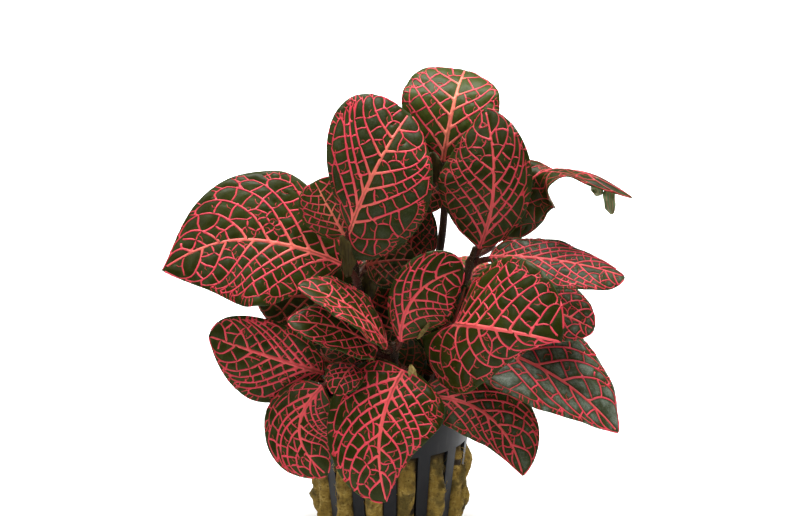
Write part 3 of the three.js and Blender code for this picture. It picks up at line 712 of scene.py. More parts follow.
@lru_cache
def pot_plastic():
    """Dark grey moulded plastic with patches of dust, a little more near its foot, and faint drawn scuffs."""
    c = colours()
    shader = Shader("pot_plastic")
    dust = shader.speckle(70, 5, rough=0.65)
    scuffs = shader.speckle(500, 4, (1, 1, 0.08))
    grain = shader.speckle(4000, 2)
    low = shader.add("ShaderNodeSeparateXYZ", {}, {0: shader.place()}, "Z").ramp(0, 0.02, 1, 0)
    dusty = dust.ramp(0.48, 0.75) * 0.3 + scuffs.ramp(0.6, 0.75) * 0.22 + low * 0.08
    grey = shader.mix(c.pot, c.pot_dust, dusty)
    rough = dust.ramp(0.4, 0.7, 0.36, 0.56) + grain * 0.05
    normal = shader.bump(grain * 0.4 + scuffs, 0.00006, 0.5)
    return shader.finish(Base_Color=grey, Roughness=rough, Normal=normal, Specular_IOR_Level=0.12)


@lru_cache
def wool_mat():
    """Wet mineral wool: matted fibres in ochre and straw, dark pores, an olive tinge and painted shade in its
    pits, its dips on top, behind the slats and where it draws back from a slot's edges.
    """
    c = colours()
    shader = Shader("wool_mat")
    patches = shader.speckle(130, 3, rough=0.6)
    wander = shader.speckle(420, 2)
    fibres = shader.speckle(1500, 5, (1, 1, 0.3), 0.7)
    crossed = shader.speckle(1900, 4, (0.3, 1, 1), 0.65)
    fleck = fibres * 0.5 + crossed * 0.5
    ochre = shader.mix(c.wool, c.wool_light, wander.ramp(0.45, 0.7) * fleck.ramp(0.42, 0.6))
    ochre = shader.mix(ochre, c.algae, patches.ramp(0.48, 0.62) * 0.85)
    ochre = shader.mix(ochre, c.wool_pores_and_shade, fleck.ramp(0.36, 0.5, 0.6, 0))
    # Painted shade: darker in pits and dips, behind the slats and where the wool draws back from a slot's
    # edges
    ochre = shader.mix(ochre, c.wool_pores_and_shade, shader.mark("painted_hollow_shade").ramp(0.15, 0.75))
    normal = shader.bump(fleck, 0.0006, 0.9)
    return shader.finish(Base_Color=ochre, Roughness=0.92, Normal=normal, Specular_IOR_Level=0.25)


# Meshes


def add_object(name, data):
    """A new object in the scene."""
    thing = bpy.data.objects.new(name, data)
    bpy.context.scene.collection.objects.link(thing)
    return thing


def make_piece(name, points, faces, materials, nodes, marks=(), face_materials=None):
    """Writes a mesh given in millimetres, gives it its finish and ties it to the solids it stands for."""
    mesh = bpy.data.meshes.new(name)
    mesh.from_pydata((np.asarray(points) * MM).tolist(), [], faces)
    for key, values in dict(marks).items():
        attribute = mesh.attributes.new(key, "FLOAT", "POINT")
        attribute.data.foreach_set("value", np.asarray(values, np.float32))
    for material in materials:
        mesh.materials.append(material)
    if face_materials is not None:
        mesh.polygons.foreach_set("material_index", face_materials)
    mesh.shade_smooth()
    piece = add_object(name, mesh)
    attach(piece, "root")
    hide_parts(*nodes)
    return piece


def unit(vectors):
    """The vectors, each one long."""
    return vectors / np.maximum(np.linalg.norm(vectors, axis=-1, keepdims=True), 1e-12)


# Leaves


def half_of(t):
    """0 for places on the left half of a blade and 1 for those on the right one."""
    return (t >= 0).astype(int)


class Leaf:
    """A leaf's surface: s runs from base to tip, and t from -1 on the left edge to 1 on the right one."""

    def __init__(self, name, shape):
        for key, value in {**LEAF_SHAPE, **shape}.items():
            setattr(self, key, value)
        self.name = name
        self.start = np.array(self.base, float)
        self.chord = np.array(self.tip, float) - self.start
        self.length = np.linalg.norm(self.chord)
        self.ahead = self.chord / self.length
        self.front = np.array(self.face, float)
        self.front = unit(self.front - self.ahead * (self.front @ self.ahead))
        self.side = np.cross(self.ahead, self.front)
        self.seed = sum(ord(letter) * (i + 7) for i, letter in enumerate(name))
        self.ruffle = random.Random(self.seed).uniform(0, TURN)

    def scale(self, least):
        """How large its veins are against those of a grown leaf."""
        return min(1, max(least, self.width / GROWN_WIDTH))

    def midrib_at(self, s):
        """Points on the midrib, arched and bent sideways."""
        bump = 4 * s * (1 - s)
        tail = np.maximum(0, (s - 0.5) / 0.5) ** 2
        return (
            self.start
            + np.outer(s, self.chord)
            + np.outer(self.arch * bump - self.curl * tail, self.front)
            + np.outer(self.bend * bump + self.hook * tail, self.side)
        )

    def frames(self, s):
        """Directions along, up and to the right of the blade."""
        step = 0.01
        along = unit(self.midrib_at(np.minimum(s + step, 1)) - self.midrib_at(np.maximum(s - step, 0)))
        up = unit(self.front - along * (along @ self.front)[:, None])
        share = np.clip((s - self.twisted[0]) / (self.twisted[1] - self.twisted[0]), 0, 1)
        turn = math.radians(self.twist) * share * share * (3 - 2 * share)
        up = up * np.cos(turn)[:, None] + np.cross(along, up) * np.sin(turn)[:, None]
        return along, up, np.cross(along, up)

    def hang(self, s, t):
        """How far a place hangs back past the base, in the lobes on each side of it."""
        reach = np.minimum(np.abs(t), 1)
        return np.array(self.lobe)[half_of(t)] * reach * (2 - reach) * (1 - s) ** 3

    def half_width(self, s, t):
        """How far the blade reaches from the midrib, on the side where t lies."""
        ends = np.array([self.left, self.right])[half_of(t)]
        share, base, tip = ends.T
        widest = base / (base + tip)
        rise = (np.clip(s, 0, 1) / widest) ** base
        fall = (np.clip(1 - s, 0, 1) / (1 - widest)) ** tip
        return share * self.width * rise * fall / 2

    def point(self, s, t):
        """Points in space: each half is folded up at the midrib, rolls down and waves at its edge."""
        s, t = np.asarray(s, float), np.asarray(t, float)
        _, up, right = self.frames(s)
        half = half_of(t)
        reach = np.abs(t)
        h = self.half_width(s, t)
        fold = np.radians(self.fold)[half]
        roll = np.radians(self.roll)[half]
        out = h / roll * (np.sin(fold) - np.sin(fold - roll * reach))
        rise = h / roll * (np.cos(fold - roll * reach) - np.cos(fold))
        ripple = np.sin(TURN * (WAVES * s + 0.35 * half))
        wave = self.wave * reach**2 * (2 * h / self.width) * ripple
        fine = RUFFLE_DEPTH * reach**3 * np.sin(TURN * RUFFLES * s + self.ruffle + 2 * half)
        return (
            self.midrib_at(s)
            + right * (np.sign(t) * out)[:, None]
            + up * (rise + wave + fine * np.minimum(1, h / 6))[:, None]
            - np.outer(self.hang(s, t), self.ahead)
        )

    def normal(self, s, t):
        """The blade's upward direction."""
        step = 0.02
        inner = np.clip(s, 0.03, 0.97)
        along = self.point(inner + step, t) - self.point(inner - step, t)
        across = self.point(inner, np.minimum(t + step, 1)) - self.point(inner, np.maximum(t - step, -1))
        return unit(np.cross(across, along))

    def flatten(self, s, t):
        """Where a place of the blade lies on the leaf pressed flat, in millimetres."""
        return np.stack([t * self.half_width(s, t), s * self.length - self.hang(s, t)], -1)

    def unflatten(self, flat):
        """The place of the blade that lies there, found by halving."""
        side = np.where(flat[:, 0] < 0, -1.0, 1.0)
        low, high = np.zeros(len(flat)), np.ones(len(flat))
        for _ in range(HALVINGS):
            s = (low + high) / 2
            t = np.clip(flat[:, 0] / np.maximum(self.half_width(s, side), 1e-6), -1, 1)
            short = s * self.length - self.hang(s, t) < flat[:, 1]
            low, high = np.where(short, s, low), np.where(short, high, s)
        return s, t


LEAVES = {
    name: Leaf(name, {**shape, "shoot": shoot})
    for shoot, leaves in FOLIAGE.items()
    for name, shape in leaves.items()
}


def vein_path(leaf, side, r, t):
    """The flat place t of the way out to the edge along the side vein that leaves the midrib at r."""
    r, t = np.broadcast_arrays(np.asarray(r, float), np.asarray(t, float))
    sweep = leaf.sweep[int(side > 0)]
    sweep = (sweep + (TIP_SWEEP - sweep) * r) * (1 - np.exp(-r / BASE_TURN)) * (1 - r)
    return leaf.flatten(r + sweep * (0.75 * t + 0.25 * t**3), side * t)


def side_rows(leaf, side, rng):
    """Where the side veins of a half leave the midrib: those of the two halves stand apart."""
    rows = []
    for k in range(leaf.veins):
        share = (k + 0.45 + 0.15 * side + rng.uniform(-0.1, 0.1)) / leaf.veins
        rows.append(FIRST_VEIN + VEIN_SPAN * share**leaf.crowd)
    return [*BASE_ROWS, *rows, TIP_ROW]


def run_length(points):
    """How far each point is along a line, from 0 at its start."""
    return np.concatenate([[0], np.cumsum(np.linalg.norm(np.diff(points, axis=0), axis=1))])


def cell_walls(seeds, borders):
    """The walls between cells that grow round seeds inside borders, as pairs of points."""
    points = [seeds]
    for border in borders:
        nearest = ((seeds[:, None] - border[None]) ** 2).sum(-1).argmin(1)
        points.append(2 * border[nearest] - seeds)
    given = [Vector(p) for p in np.concatenate(points)]
    corners, _, faces, origins, _, _ = delaunay_2d_cdt(given, [], [], 0, 1e-7)
    real = [any(k < len(seeds) for k in group) for group in origins]
    centres = []
    sides = {}
    for i, face in enumerate(faces):
        (ax, ay), (bx, by), (cx, cy) = (corners[k] for k in face)
        twice = 2 * (ax * (by - cy) + bx * (cy - ay) + cx * (ay - by)) or 1e-12
        a, b, c = ax * ax + ay * ay, bx * bx + by * by, cx * cx + cy * cy
        x = (a * (by - cy) + b * (cy - ay) + c * (ay - by)) / twice
        y = (a * (cx - bx) + b * (ax - cx) + c * (bx - ax)) / twice
        centres.append(np.array((x, y)))
        for k in range(3):
            sides.setdefault(frozenset((face[k], face[k - 1])), []).append(i)
    walls = []
    for pair, both in sides.items():
        if len(both) == 2 and all(real[k] for k in pair):
            walls.append((centres[both[0]], centres[both[1]]))
    return walls


class Strip:
    """The part of a half blade between two neighbouring side veins, with the blade pressed flat."""

    def __init__(self, leaf, side, rows, ends):
        self.leaf = leaf
        self.side = side
        self.low, self.high = rows
        self.low_end, self.high_end = ends

    def place(self, u, v):
        """A place: u is 0 at the midrib, 1 at the loop and 2 at the rim, and v runs from low to high vein."""
        u, v = np.broadcast_arrays(np.asarray(u, float), np.asarray(v, float))
        loop = self.low_end + (LOOP_FOOT * self.high_end - self.low_end) * v
        loop = loop + LOOP_BULGE * np.sin(np.pi * np.clip(v, 0, 1))
        t = np.where(u <= 1, u * loop, loop + (u - 1) * (RIM_AT - loop))
        return vein_path(self.leaf, self.side, self.low + (self.high - self.low) * v, t)

    def seeds(self, cell, rng):
        """Seeds for a row of cells along the strip, here and there two abreast where it is wide."""
        u = np.linspace(0, 1, 50)
        line = self.place(u, 0.5)
        ahead = unit(np.gradient(line, axis=0))
        span = self.place(u, 1) - self.place(u, 0)
        width = np.abs(span[:, 0] * ahead[:, 1] - span[:, 1] * ahead[:, 0])
        run = run_length(line)
        seeds = []
        at = cell * rng.uniform(0.3, 0.7)
        while at < run[-1] - 0.3 * cell:
            share, wide = np.interp(at, run, u), np.interp(at, run, width)
            if wide > 1.45 * cell and rng.random() < 0.7:
                lag = rng.uniform(-0.35, 0.35) * cell / run[-1]
                seeds.append(self.place(share + lag, rng.uniform(0.2, 0.32)))
                seeds.append(self.place(share - lag, rng.uniform(0.68, 0.8)))
            elif wide > 0.9:
                seeds.append(self.place(share, rng.uniform(0.36, 0.64)))
            at += cell * rng.uniform(0.75, 1.3)
        return np.array(seeds).reshape(-1, 2)

    def cross_veins(self, cell, thick, spur, rng):
        """The walls of the strip's cells, each with a kink, and short spurs that end inside a cell."""
        seeds = self.seeds(cell, rng)
        if len(seeds) < 2:
            return []
        ends = np.linspace(0, 1, 60)
        borders = [self.place(ends, 0), self.place(ends, 1), self.place(0, ends), self.place(1, ends)]
        veins = []
        for first, last in cell_walls(seeds, borders):
            run = last - first
            long = math.hypot(*run)
            if not 0.3 < long < 2.6 * cell:
                continue
            across = np.array((-run[1], run[0])) / long
            kink = first + run * rng.uniform(0.35, 0.65) + across * long * rng.uniform(-0.14, 0.14)
            veins.append((np.array([first, kink, last]), np.full(3, thick * rng.uniform(0.8, 1.2))))
            if long > 1.2 and rng.random() < 0.55:
                turn = rng.choice((-1, 1))
                reach = cell * rng.uniform(0.2, 0.38)
                bend = kink + across * turn * reach + unit(run) * rng.uniform(-0.3, 0.3)
                tip = bend + across * turn * reach * 0.5 + unit(run) * rng.choice((-1, 1)) * reach * 0.8
                veins.append((np.array([kink, bend, tip]), spur * np.array([1.3, 1, 0.5])))
        return veins

    def comb(self, spacing, thick, rng):
        """Fine veins from the loop out to the edge, here and there joined by an arch."""
        steps = 30
        along = np.linspace(0, 1, steps)
        line = self.place(1, along)
        run = run_length(line)
        ahead = unit(np.gradient(line, axis=0))
        outward = np.stack([self.side * np.abs(ahead[:, 1]), -self.side * ahead[:, 0]], -1)
        gap = np.linalg.norm(self.place(2, along) - line, axis=1)
        count = max(1, round(run[-1] / spacing))
        veins = []
        before = None
        for i in range(count):
            k = min(steps - 1, int((i + 0.5 + rng.uniform(-0.25, 0.25)) / count * steps))
            reach = gap[k] * np.abs(outward[k, 0]) * rng.uniform(0.5, 0.85)
            head = line[k] + (outward[k] + ahead[k] * rng.uniform(0, 0.5)) * reach
            middle = (line[k] + head) / 2 + np.array((rng.uniform(-0.12, 0.12), rng.uniform(-0.12, 0.12)))
            veins.append((np.array([line[k], middle, head]), thick * np.array([1.25, 0.95, 0.4])))
            if before is not None and rng.random() < 0.6:
                top = (before + middle) / 2 + outward[k] * reach * 0.45
                veins.append((np.array([before, top, middle]), np.full(3, thick * 0.85)))
            before = middle
        return veins


def leaf_veins(leaf):
    """Every vein of a leaf on the flat blade, as points and widths in millimetres."""
    rng = random.Random(leaf.seed)
    size = sizes()
    scale, fine = leaf.scale(LEAST_MAIN), leaf.scale(LEAST_FINE)
    cell = size.cell / MM * leaf.scale(LEAST_CELL) * leaf.cell
    cross, rim, spur = (width / MM * fine for width in (size.cross_vein, size.rim_vein, size.spur))
    s = np.linspace(0, MIDRIB_END, 40)
    veins = [(leaf.flatten(s, np.zeros(len(s))), size.midrib / MM * scale * (1 - MIDRIB_TAPER * s))]
    for side in (-1, 1):
        rows = side_rows(leaf, side, rng)
        ends = [rng.uniform(*LOOP_AT) for _ in rows]
        for k in range(len(rows) - 1):
            strip = Strip(leaf, side, rows[k : k + 2], ends[k : k + 2])
            u = np.linspace(0, 1, 16)
            wave = 0.02 * np.sin(TURN * (u * 1.6 + rng.random())) * np.sin(np.pi * u)
            thick = size.side_vein / MM * scale * (1 - VEIN_TAPER * u) * (1 - 0.3 * rows[k])
            if k < len(BASE_ROWS):
                thick = thick * 0.5
            veins.append((strip.place(u, wave), thick))
            loop = strip.place(1, np.linspace(0, 1, 9))
            veins.append((loop, np.linspace(thick[-1], cross, len(loop))))
            veins += strip.cross_veins(cell, cross, spur, rng)
            veins += strip.comb(size.rim_cell / MM, rim, rng)
    return [(points, widths * leaf.vein_scale) for points, widths in veins]


def evened(points, widths, step):
    """A vein with its points at even steps."""
    run = run_length(points)
    count = max(2, int(math.ceil(run[-1] / step)) + 1)
    at = np.linspace(0, run[-1], count)
    even = np.stack([np.interp(at, run, points[:, 0]), np.interp(at, run, points[:, 1])], -1)
    return even, np.interp(at, run, widths)


def beside(line, gaps):
    """The line moved aside by these gaps."""
    along = unit(np.gradient(line, axis=0))
    return line + np.stack([along[:, 1], -along[:, 0]], -1) * gaps[:, None]


class VeinField:
    """How far points of the flat blade lie outside the nearest vein."""

    def __init__(self, veins):
        self.first = np.concatenate([points[:-1] for points, _ in veins])
        self.last = np.concatenate([points[1:] for points, _ in veins])
        self.first_width = np.concatenate([widths[:-1] for _, widths in veins])
        self.last_width = np.concatenate([widths[1:] for _, widths in veins])

    def measure(self, points):
        """Distance outside the nearest vein, less than 0 inside one, and that vein's width."""
        outside = np.empty(len(points))
        width = np.empty(len(points))
        run = self.last - self.first
        long = np.maximum((run**2).sum(1), 1e-12)
        batch = 400
        for i in range(0, len(points), batch):
            some = points[i : i + batch, None, :] - self.first[None]
            share = np.clip((some * run).sum(-1) / long, 0, 1)
            gap = np.linalg.norm(some - share[..., None] * run, axis=-1)
            thick = self.first_width + (self.last_width - self.first_width) * share
            beyond = gap - thick / 2
            nearest = beyond.argmin(1)
            rows = np.arange(len(nearest))
            outside[i : i + batch] = beyond[rows, nearest]
            width[i : i + batch] = thick[rows, nearest]
        return outside, width


@lru_cache
def leaf_net(name):
    """The flat blade cut into triangles along its veins, and how far corners lie from veins and edge."""
    leaf = LEAVES[name]
    rng = random.Random(leaf.seed + 1)
    veins = [evened(points, widths, VEIN_STEP) for points, widths in leaf_veins(leaf)]
    field = VeinField(veins)
    turns = 1 - np.cos(np.linspace(0, np.pi, max(24, int(leaf.length / OUTLINE_STEP))))
    s = turns / 2
    left = leaf.flatten(s, np.full(len(s), -1.0))
    right = leaf.flatten(s[1:-1], np.full(len(s) - 2, 1.0))[::-1]
    outline = np.concatenate([left[::-1], right[::-1]])
    points = [Vector(p) for p in outline]
    edges = [(i, (i + 1) % len(points)) for i in range(len(points))]

    def inside(flat, most):
        """Whether places lie within this share of the way to the edge, clear of the base and the tip."""
        s, t = leaf.unflatten(flat)
        return (np.abs(t) < most) & (s > 0.004) & (s < 0.99)

    for offset in (0, -0.5, 0.5):
        rows = [beside(middle, widths * offset) for middle, widths in veins]
        every = np.concatenate(rows)
        kept = inside(every, 0.99)
        if offset:
            kept &= field.measure(every)[0] > -0.04
        for row, keep in zip(rows, np.split(kept, np.cumsum([len(row) for row in rows])[:-1])):
            start = len(points)
            points.extend(Vector(p) for p in row[keep])
            joined = np.diff(np.flatnonzero(keep)) == 1
            edges.extend((start + i, start + i + 1) for i in np.flatnonzero(joined))
    xs = np.arange(-leaf.width, leaf.width, FILL_STEP)
    ys = np.arange(-max(leaf.lobe), leaf.length, FILL_STEP)
    fill = np.array([(x + rng.uniform(-0.3, 0.3), y + rng.uniform(-0.3, 0.3)) for y in ys for x in xs])
    fill = fill[inside(fill, 0.95)]
    fill = fill[field.measure(fill)[0] > FILL_CLEAR]
    points.extend(Vector(p) for p in fill)
    rim = [list(range(len(outline)))]
    corners, _, faces, _, _, _ = delaunay_2d_cdt(points, edges, rim, 1, MERGE)
    flat = np.array([tuple(p) for p in corners])
    faces = np.array([face for face in faces if len(face) == 3])
    area = np.cross(flat[faces[:, 1]] - flat[faces[:, 0]], flat[faces[:, 2]] - flat[faces[:, 0]])
    faces = np.where(area[:, None] < 0, faces[:, ::-1], faces)
    from_vein, width = field.measure(flat)
    s, t = leaf.unflatten(flat)
    from_edge = (1 - np.abs(t)) * leaf.half_width(s, t) + np.minimum(s, 1 - s) * 0.5
    in_vein = field.measure(flat[faces].mean(1))[0] < -0.01
    return SimpleNamespace(
        faces=faces,
        s=s,
        t=t,
        from_vein=from_vein,
        width=width,
        from_edge=from_edge,
        in_vein=in_vein,
        spot=leaf.point(s, t),
        normal=leaf.normal(s, t),
    )


def open_edges(faces):
    """The edges that only one of the triangles has, in that triangle's direction."""
    runs = np.concatenate([faces[:, [0, 1]], faces[:, [1, 2]], faces[:, [2, 0]]])
    seen = {(a, b) for a, b in runs.tolist()}
    return [(a, b) for a, b in runs.tolist() if (b, a) not in seen]


def shell(faces, count):
    """Faces of a thin closed body: triangles on top, the same below, and walls along their open edges."""
    walls = [(a, a + count, b + count, b) for a, b in open_edges(faces)]
    return faces.tolist(), (faces[:, ::-1] + count).tolist(), walls


def grow_blade(name):
    """The blade of one leaf: swollen between its veins, thin at its edge, with its veins raised below."""
    leaf = LEAVES[name]
    net = leaf_net(name)
    size = sizes()
    fade = np.clip(net.from_edge / EDGE_FADE, 0, 1)
    puff = size.quilt / MM * (1 - np.exp(-np.maximum(net.from_vein, 0) / QUILT_REACH)) * fade
    ridge = np.clip(-net.from_vein, 0, RIB_MOST)
    thin = size.blade / MM / 2 * (EDGE_SHARE + (1 - EDGE_SHARE) * fade)
    groove = np.where(net.from_vein < 0, VEIN_GROOVE, 0)
    upper = net.spot + net.normal * (thin + puff - groove)[:, None]
    lower = net.spot + net.normal * (UNDER_QUILT * puff - thin - ridge * RIB_SHARE)[:, None]
    top, bottom, wall = shell(net.faces, len(upper))
    marks = {key: np.tile(getattr(net, key), 2) for key in ("from_vein", "from_edge")}
    # Each leaf's youth, its painted shade and its painted grey sheen, the same all over the blade
    for key in ("youth", "tan", "painted_sheen"):
        marks[key] = np.full(2 * len(upper), getattr(leaf, key))
    return make_piece(
        "blade_" + name,
        np.concatenate([upper, lower]),
        top + bottom + wall,
        [leaf_upper(), leaf_under()],
        ["shoot_" + leaf.shoot],
        marks,
        [0] * len(top) + [1] * len(bottom) + [0] * len(wall),
    )


def grow_veins(name):
    """The net of veins on one leaf: low rounded ribs with walls that reach down into the blade."""
    leaf = LEAVES[name]
    net = leaf_net(name)
    used, faces = np.unique(net.faces[net.in_vein], return_inverse=True)
    faces = faces.reshape(-1, 3)
    inner = np.maximum(-net.from_vein[used], 0)
    lift = sizes().blade / MM / 2 + VEIN_LIFT + VEIN_CROWN * inner**0.8
    upper = net.spot[used] + net.normal[used] * lift[:, None]
    rim = open_edges(faces)
    edge = sorted({a for pair in rim for a in pair})
    below = {a: len(used) + i for i, a in enumerate(edge)}
    lower = upper[edge] - net.normal[used][edge] * VEIN_ROOT
    walls = [(a, below[a], below[b], b) for a, b in rim]
    marks = {
        "from_vein": net.from_vein,
        "vein_width": net.width / leaf.scale(LEAST_CELL),
        "from_base": net.s + 0.6 * np.abs(net.t),
        "pale": leaf.pale * np.clip(1 - np.abs(net.t) / 0.55, 0, 1),
        # painted shade that turns this leaf's veins brown
        "tan": np.full(len(net.s), leaf.tan),
    }
    return make_piece(
        "veins_" + name,
        np.concatenate([upper, lower]),
        faces.tolist() + walls,
        [vein_skin()],
        ["nerves_" + name],
        {key: np.concatenate([values[used], values[used][edge]]) for key, values in marks.items()},
    )


# Stems


def stem_spots(points, count):
    """Points at even shares of a smooth line through a stem's points."""
    given = np.array(points, float)
    given = np.concatenate([[2 * given[0] - given[1]], given, [2 * given[-1] - given[-2]]])
    spots = []
    for share in np.linspace(0, len(points) - 1, count):
        k = min(int(share), len(points) - 2)
        u = share - k
        a, b, c, d = given[k : k + 4]
        before, between, after = (math.sqrt(math.dist(*pair)) for pair in ((a, b), (b, c), (c, d)))
        leaving = ((b - a) / before - (c - a) / (before + between)) * between + c - b
        arriving = ((d - c) / after - (d - b) / (between + after)) * between + c - b
        square = 3 * (c - b) - 2 * leaving - arriving
        spots.append(b + u * leaving + u**2 * square + u**3 * (2 * (b - c) + leaving + arriving))
    return np.array(spots)


def sleeve(first, rings, around):
    """Faces between rings of so many points each, counted from the first ring's first point."""
    faces = []
    for i in range(rings - 1):
        for k in range(around):
            a, b = first + i * around + k, first + i * around + (k + 1) % around
            faces.append((a, b, b + around, a + around))
    return faces


def cap(ring, tip, around, below=False):
    """Faces from a ring to the point that closes it, above it or below."""
    pairs = [(ring + k, ring + (k + 1) % around) for k in range(around)]
    return [(tip, b, a) if below else (tip, a, b) for a, b in pairs]


def add_tube(points, faces, spots, radii, sides):
    """Adds a round tube with domed ends to a mesh's points and faces."""
    first = len(points)
    along = unit(np.gradient(spots, axis=0))
    across = np.cross(along[0], (0, 1, 0) if abs(along[0][1]) < 0.9 else (1, 0, 0))
    for spot, ahead, radius in zip(spots, along, radii):
        across = unit(across - ahead * (across @ ahead))
        third = np.cross(ahead, across)
        for k in range(sides):
            angle = TURN * k / sides
            points.append(spot + radius * (math.cos(angle) * across + math.sin(angle) * third))
    points.append(spots[0] - along[0] * radii[0] * 0.5)
    points.append(spots[-1] + along[-1] * radii[-1] * 0.6)
    faces += sleeve(first, len(spots), sides)
    faces += cap(first, len(points) - 2, sides, below=True)
    faces += cap(len(points) - 2 - sides, len(points) - 1, sides)


def stalk_spots(leaf, stem):
    """The line of a leaf's stalk, from its stem to the blade and on as a keel under the midrib."""
    leaving = min(int(np.searchsorted(stem[:, 2], leaf.height)), len(stem) - 1)
    start = stem[leaving]
    rising = unit(stem[min(leaving + 1, len(stem) - 1)] - stem[max(leaving - 1, 0)])
    along, up, _ = (v[0] for v in leaf.frames(np.array([0.0])))
    radius = sizes().stalk / MM
    end = leaf.start - up * (radius - STALK_SUNK)
    gap = np.linalg.norm(end - start)
    first = start + rising * 0.3 * gap
    second = end - along * 0.45 * gap
    q = np.linspace(0, 1, STALK_STEPS)[:, None]
    arc = (1 - q) ** 3 * start + 3 * (1 - q) ** 2 * q * first + 3 * (1 - q) * q**2 * second + q**3 * end
    _, ups, _ = leaf.frames(KEEL_AT)
    return np.concatenate([arc, leaf.midrib_at(KEEL_AT) - ups * KEEL_DEPTH[:, None]])


def stem_lines(shoot):
    """The middle line, radii, sides and blush of a shoot's stem and of each of its leaf stalks."""
    size = sizes()
    leaves = [leaf for leaf in LEAVES.values() if leaf.shoot == shoot]
    spots = stem_spots(STEMS[shoot], STEM_STEPS)
    radii = np.linspace(size.stem, size.stem_tip, len(spots)) / MM
    for leaf in leaves:
        past = (spots[:, 2] - min(leaf.height, spots[-1, 2])) / NODE_REACH
        radii = radii + NODE_SWELL * np.exp(-(past**2))
    thick = size.stalk / MM
    taper = np.concatenate([np.linspace(thick * 1.15, thick * 0.95, STALK_STEPS), thick * KEEL_TAPER])
    lines = [(spots, np.minimum(radii, STEM_MOST), STEM_SIDES, STEM_BLUSH)]
    for leaf in leaves:
        lines.append((stalk_spots(leaf, spots), taper, STALK_SIDES, STALK_BLUSH))
    return lines


def grow_stem(shoot):
    """One shoot's stem, thickened where leaves leave it, and the stalks of its leaves."""
    points, faces, blush = [], [], []
    for spots, radii, sides, share in stem_lines(shoot):
        add_tube(points, faces, spots, radii, sides)
        blush += [share] * (len(points) - len(blush))
    nodes = ["shoot_" + shoot]
    return make_piece("stem_" + shoot, points, faces, [stem_skin()], nodes, {"blush": blush})


def grow_hairs(shoot):
    """Short hairs that stand off the stem above the rock wool and off the leaf stalks."""
    rng = random.Random("hairs " + shoot)
    reach = sizes().hair / MM
    share = np.array([0, 0.5, 1])[:, None]
    points, faces = [], []
    for spots, radii, sides, _ in stem_lines(shoot):
        along = unit(np.gradient(spots, axis=0))
        rows = np.flatnonzero(spots[:, 2] > WOOL_TOP + 1)
        for _ in range(HAIRS * sides):
            k = rng.choice(rows)
            out = unit(np.cross(along[k], [rng.gauss(0, 1) for _ in range(3)]))
            lean = out + along[k] * rng.uniform(0.1, 0.9)
            start = spots[k] + along[k] * rng.uniform(-0.5, 0.5) + out * radii[k] * 0.85
            arc = start + (lean * share + along[k] * 0.25 * share**2) * reach * rng.uniform(0.6, 1.2)
            add_tube(points, faces, arc, HAIR_RADII, 3)
    return make_piece("hairs_" + shoot, points, faces, [hair_skin()], ["shoot_" + shoot])


def grow_scale(name):
    """One narrow folded scale or flap, closed all round."""
    leaf = Leaf(name, {**SCALE_SHAPE, **SCALES[name]})
    rows, columns = 22, 9
    grid = np.meshgrid(np.linspace(0.02, 0.98, rows), np.linspace(-1, 1, columns), indexing="ij")
    s, t = (shares.ravel() for shares in grid)
    spots, normals = leaf.point(s, t), leaf.normal(s, t)
    first = np.array([k for k in range((rows - 1) * columns) if (k + 1) % columns])[:, None]
    faces = np.concatenate([first + (0, 1, columns + 1), first + (0, columns + 1, columns)])
    top, bottom, wall = shell(faces, len(spots))
    points = np.concatenate([spots + normals * SCALE_HALF, spots - normals * SCALE_HALF])
    if leaf.dry is None:
        skin, marks = leaf_under(), {"from_vein": np.tile(0.5 * np.abs(np.sin(TURN * t)) - 0.06, 2)}
    else:
        skin, marks = bract_skin(), {"dry": np.full(len(points), leaf.dry)}
    return make_piece(name, points, top + bottom + wall, [skin], ["shoot_" + leaf.shoot], marks)


# Pot and rock wool


def pot_radius(z):
    """The pot's outer radius at a height."""
    return POT_FOOT_RADIUS + (POT_TOP_RADIUS - POT_FOOT_RADIUS) * z / POT_HEIGHT


def ring_point(radius, angle, z):
    """A point round the pot's axis, with the angle counted from the front."""
    return (radius * math.sin(angle), -radius * math.cos(angle), z)


def pot_angles():
    """Angles round the pot, with one on each side of every slat and drain."""
    slot = TURN / SLATS
    marks = []
    for k in range(SLATS):
        marks += [k * slot - SLAT_ANGLE / 2 + SLAT_ANGLE * part / SLAT_PARTS for part in range(SLAT_PARTS)]
        side = k * slot + SLAT_ANGLE / 2
        marks += [side + (slot - SLAT_ANGLE) * part / SLOT_PARTS for part in range(SLOT_PARTS)]
    for k in range(DRAINS):
        marks += [k * TURN / DRAINS - DRAIN_ANGLE / 2, k * TURN / DRAINS + DRAIN_ANGLE / 2]
    return sorted({round(round(angle, 6) % TURN, 6) for angle in marks})


def in_sector(angle, count, width):
    """Whether an angle lies in one of so many sectors of this width, set evenly round the pot."""
    step = TURN / count
    return abs((angle + step / 2) % step - step / 2) < width / 2


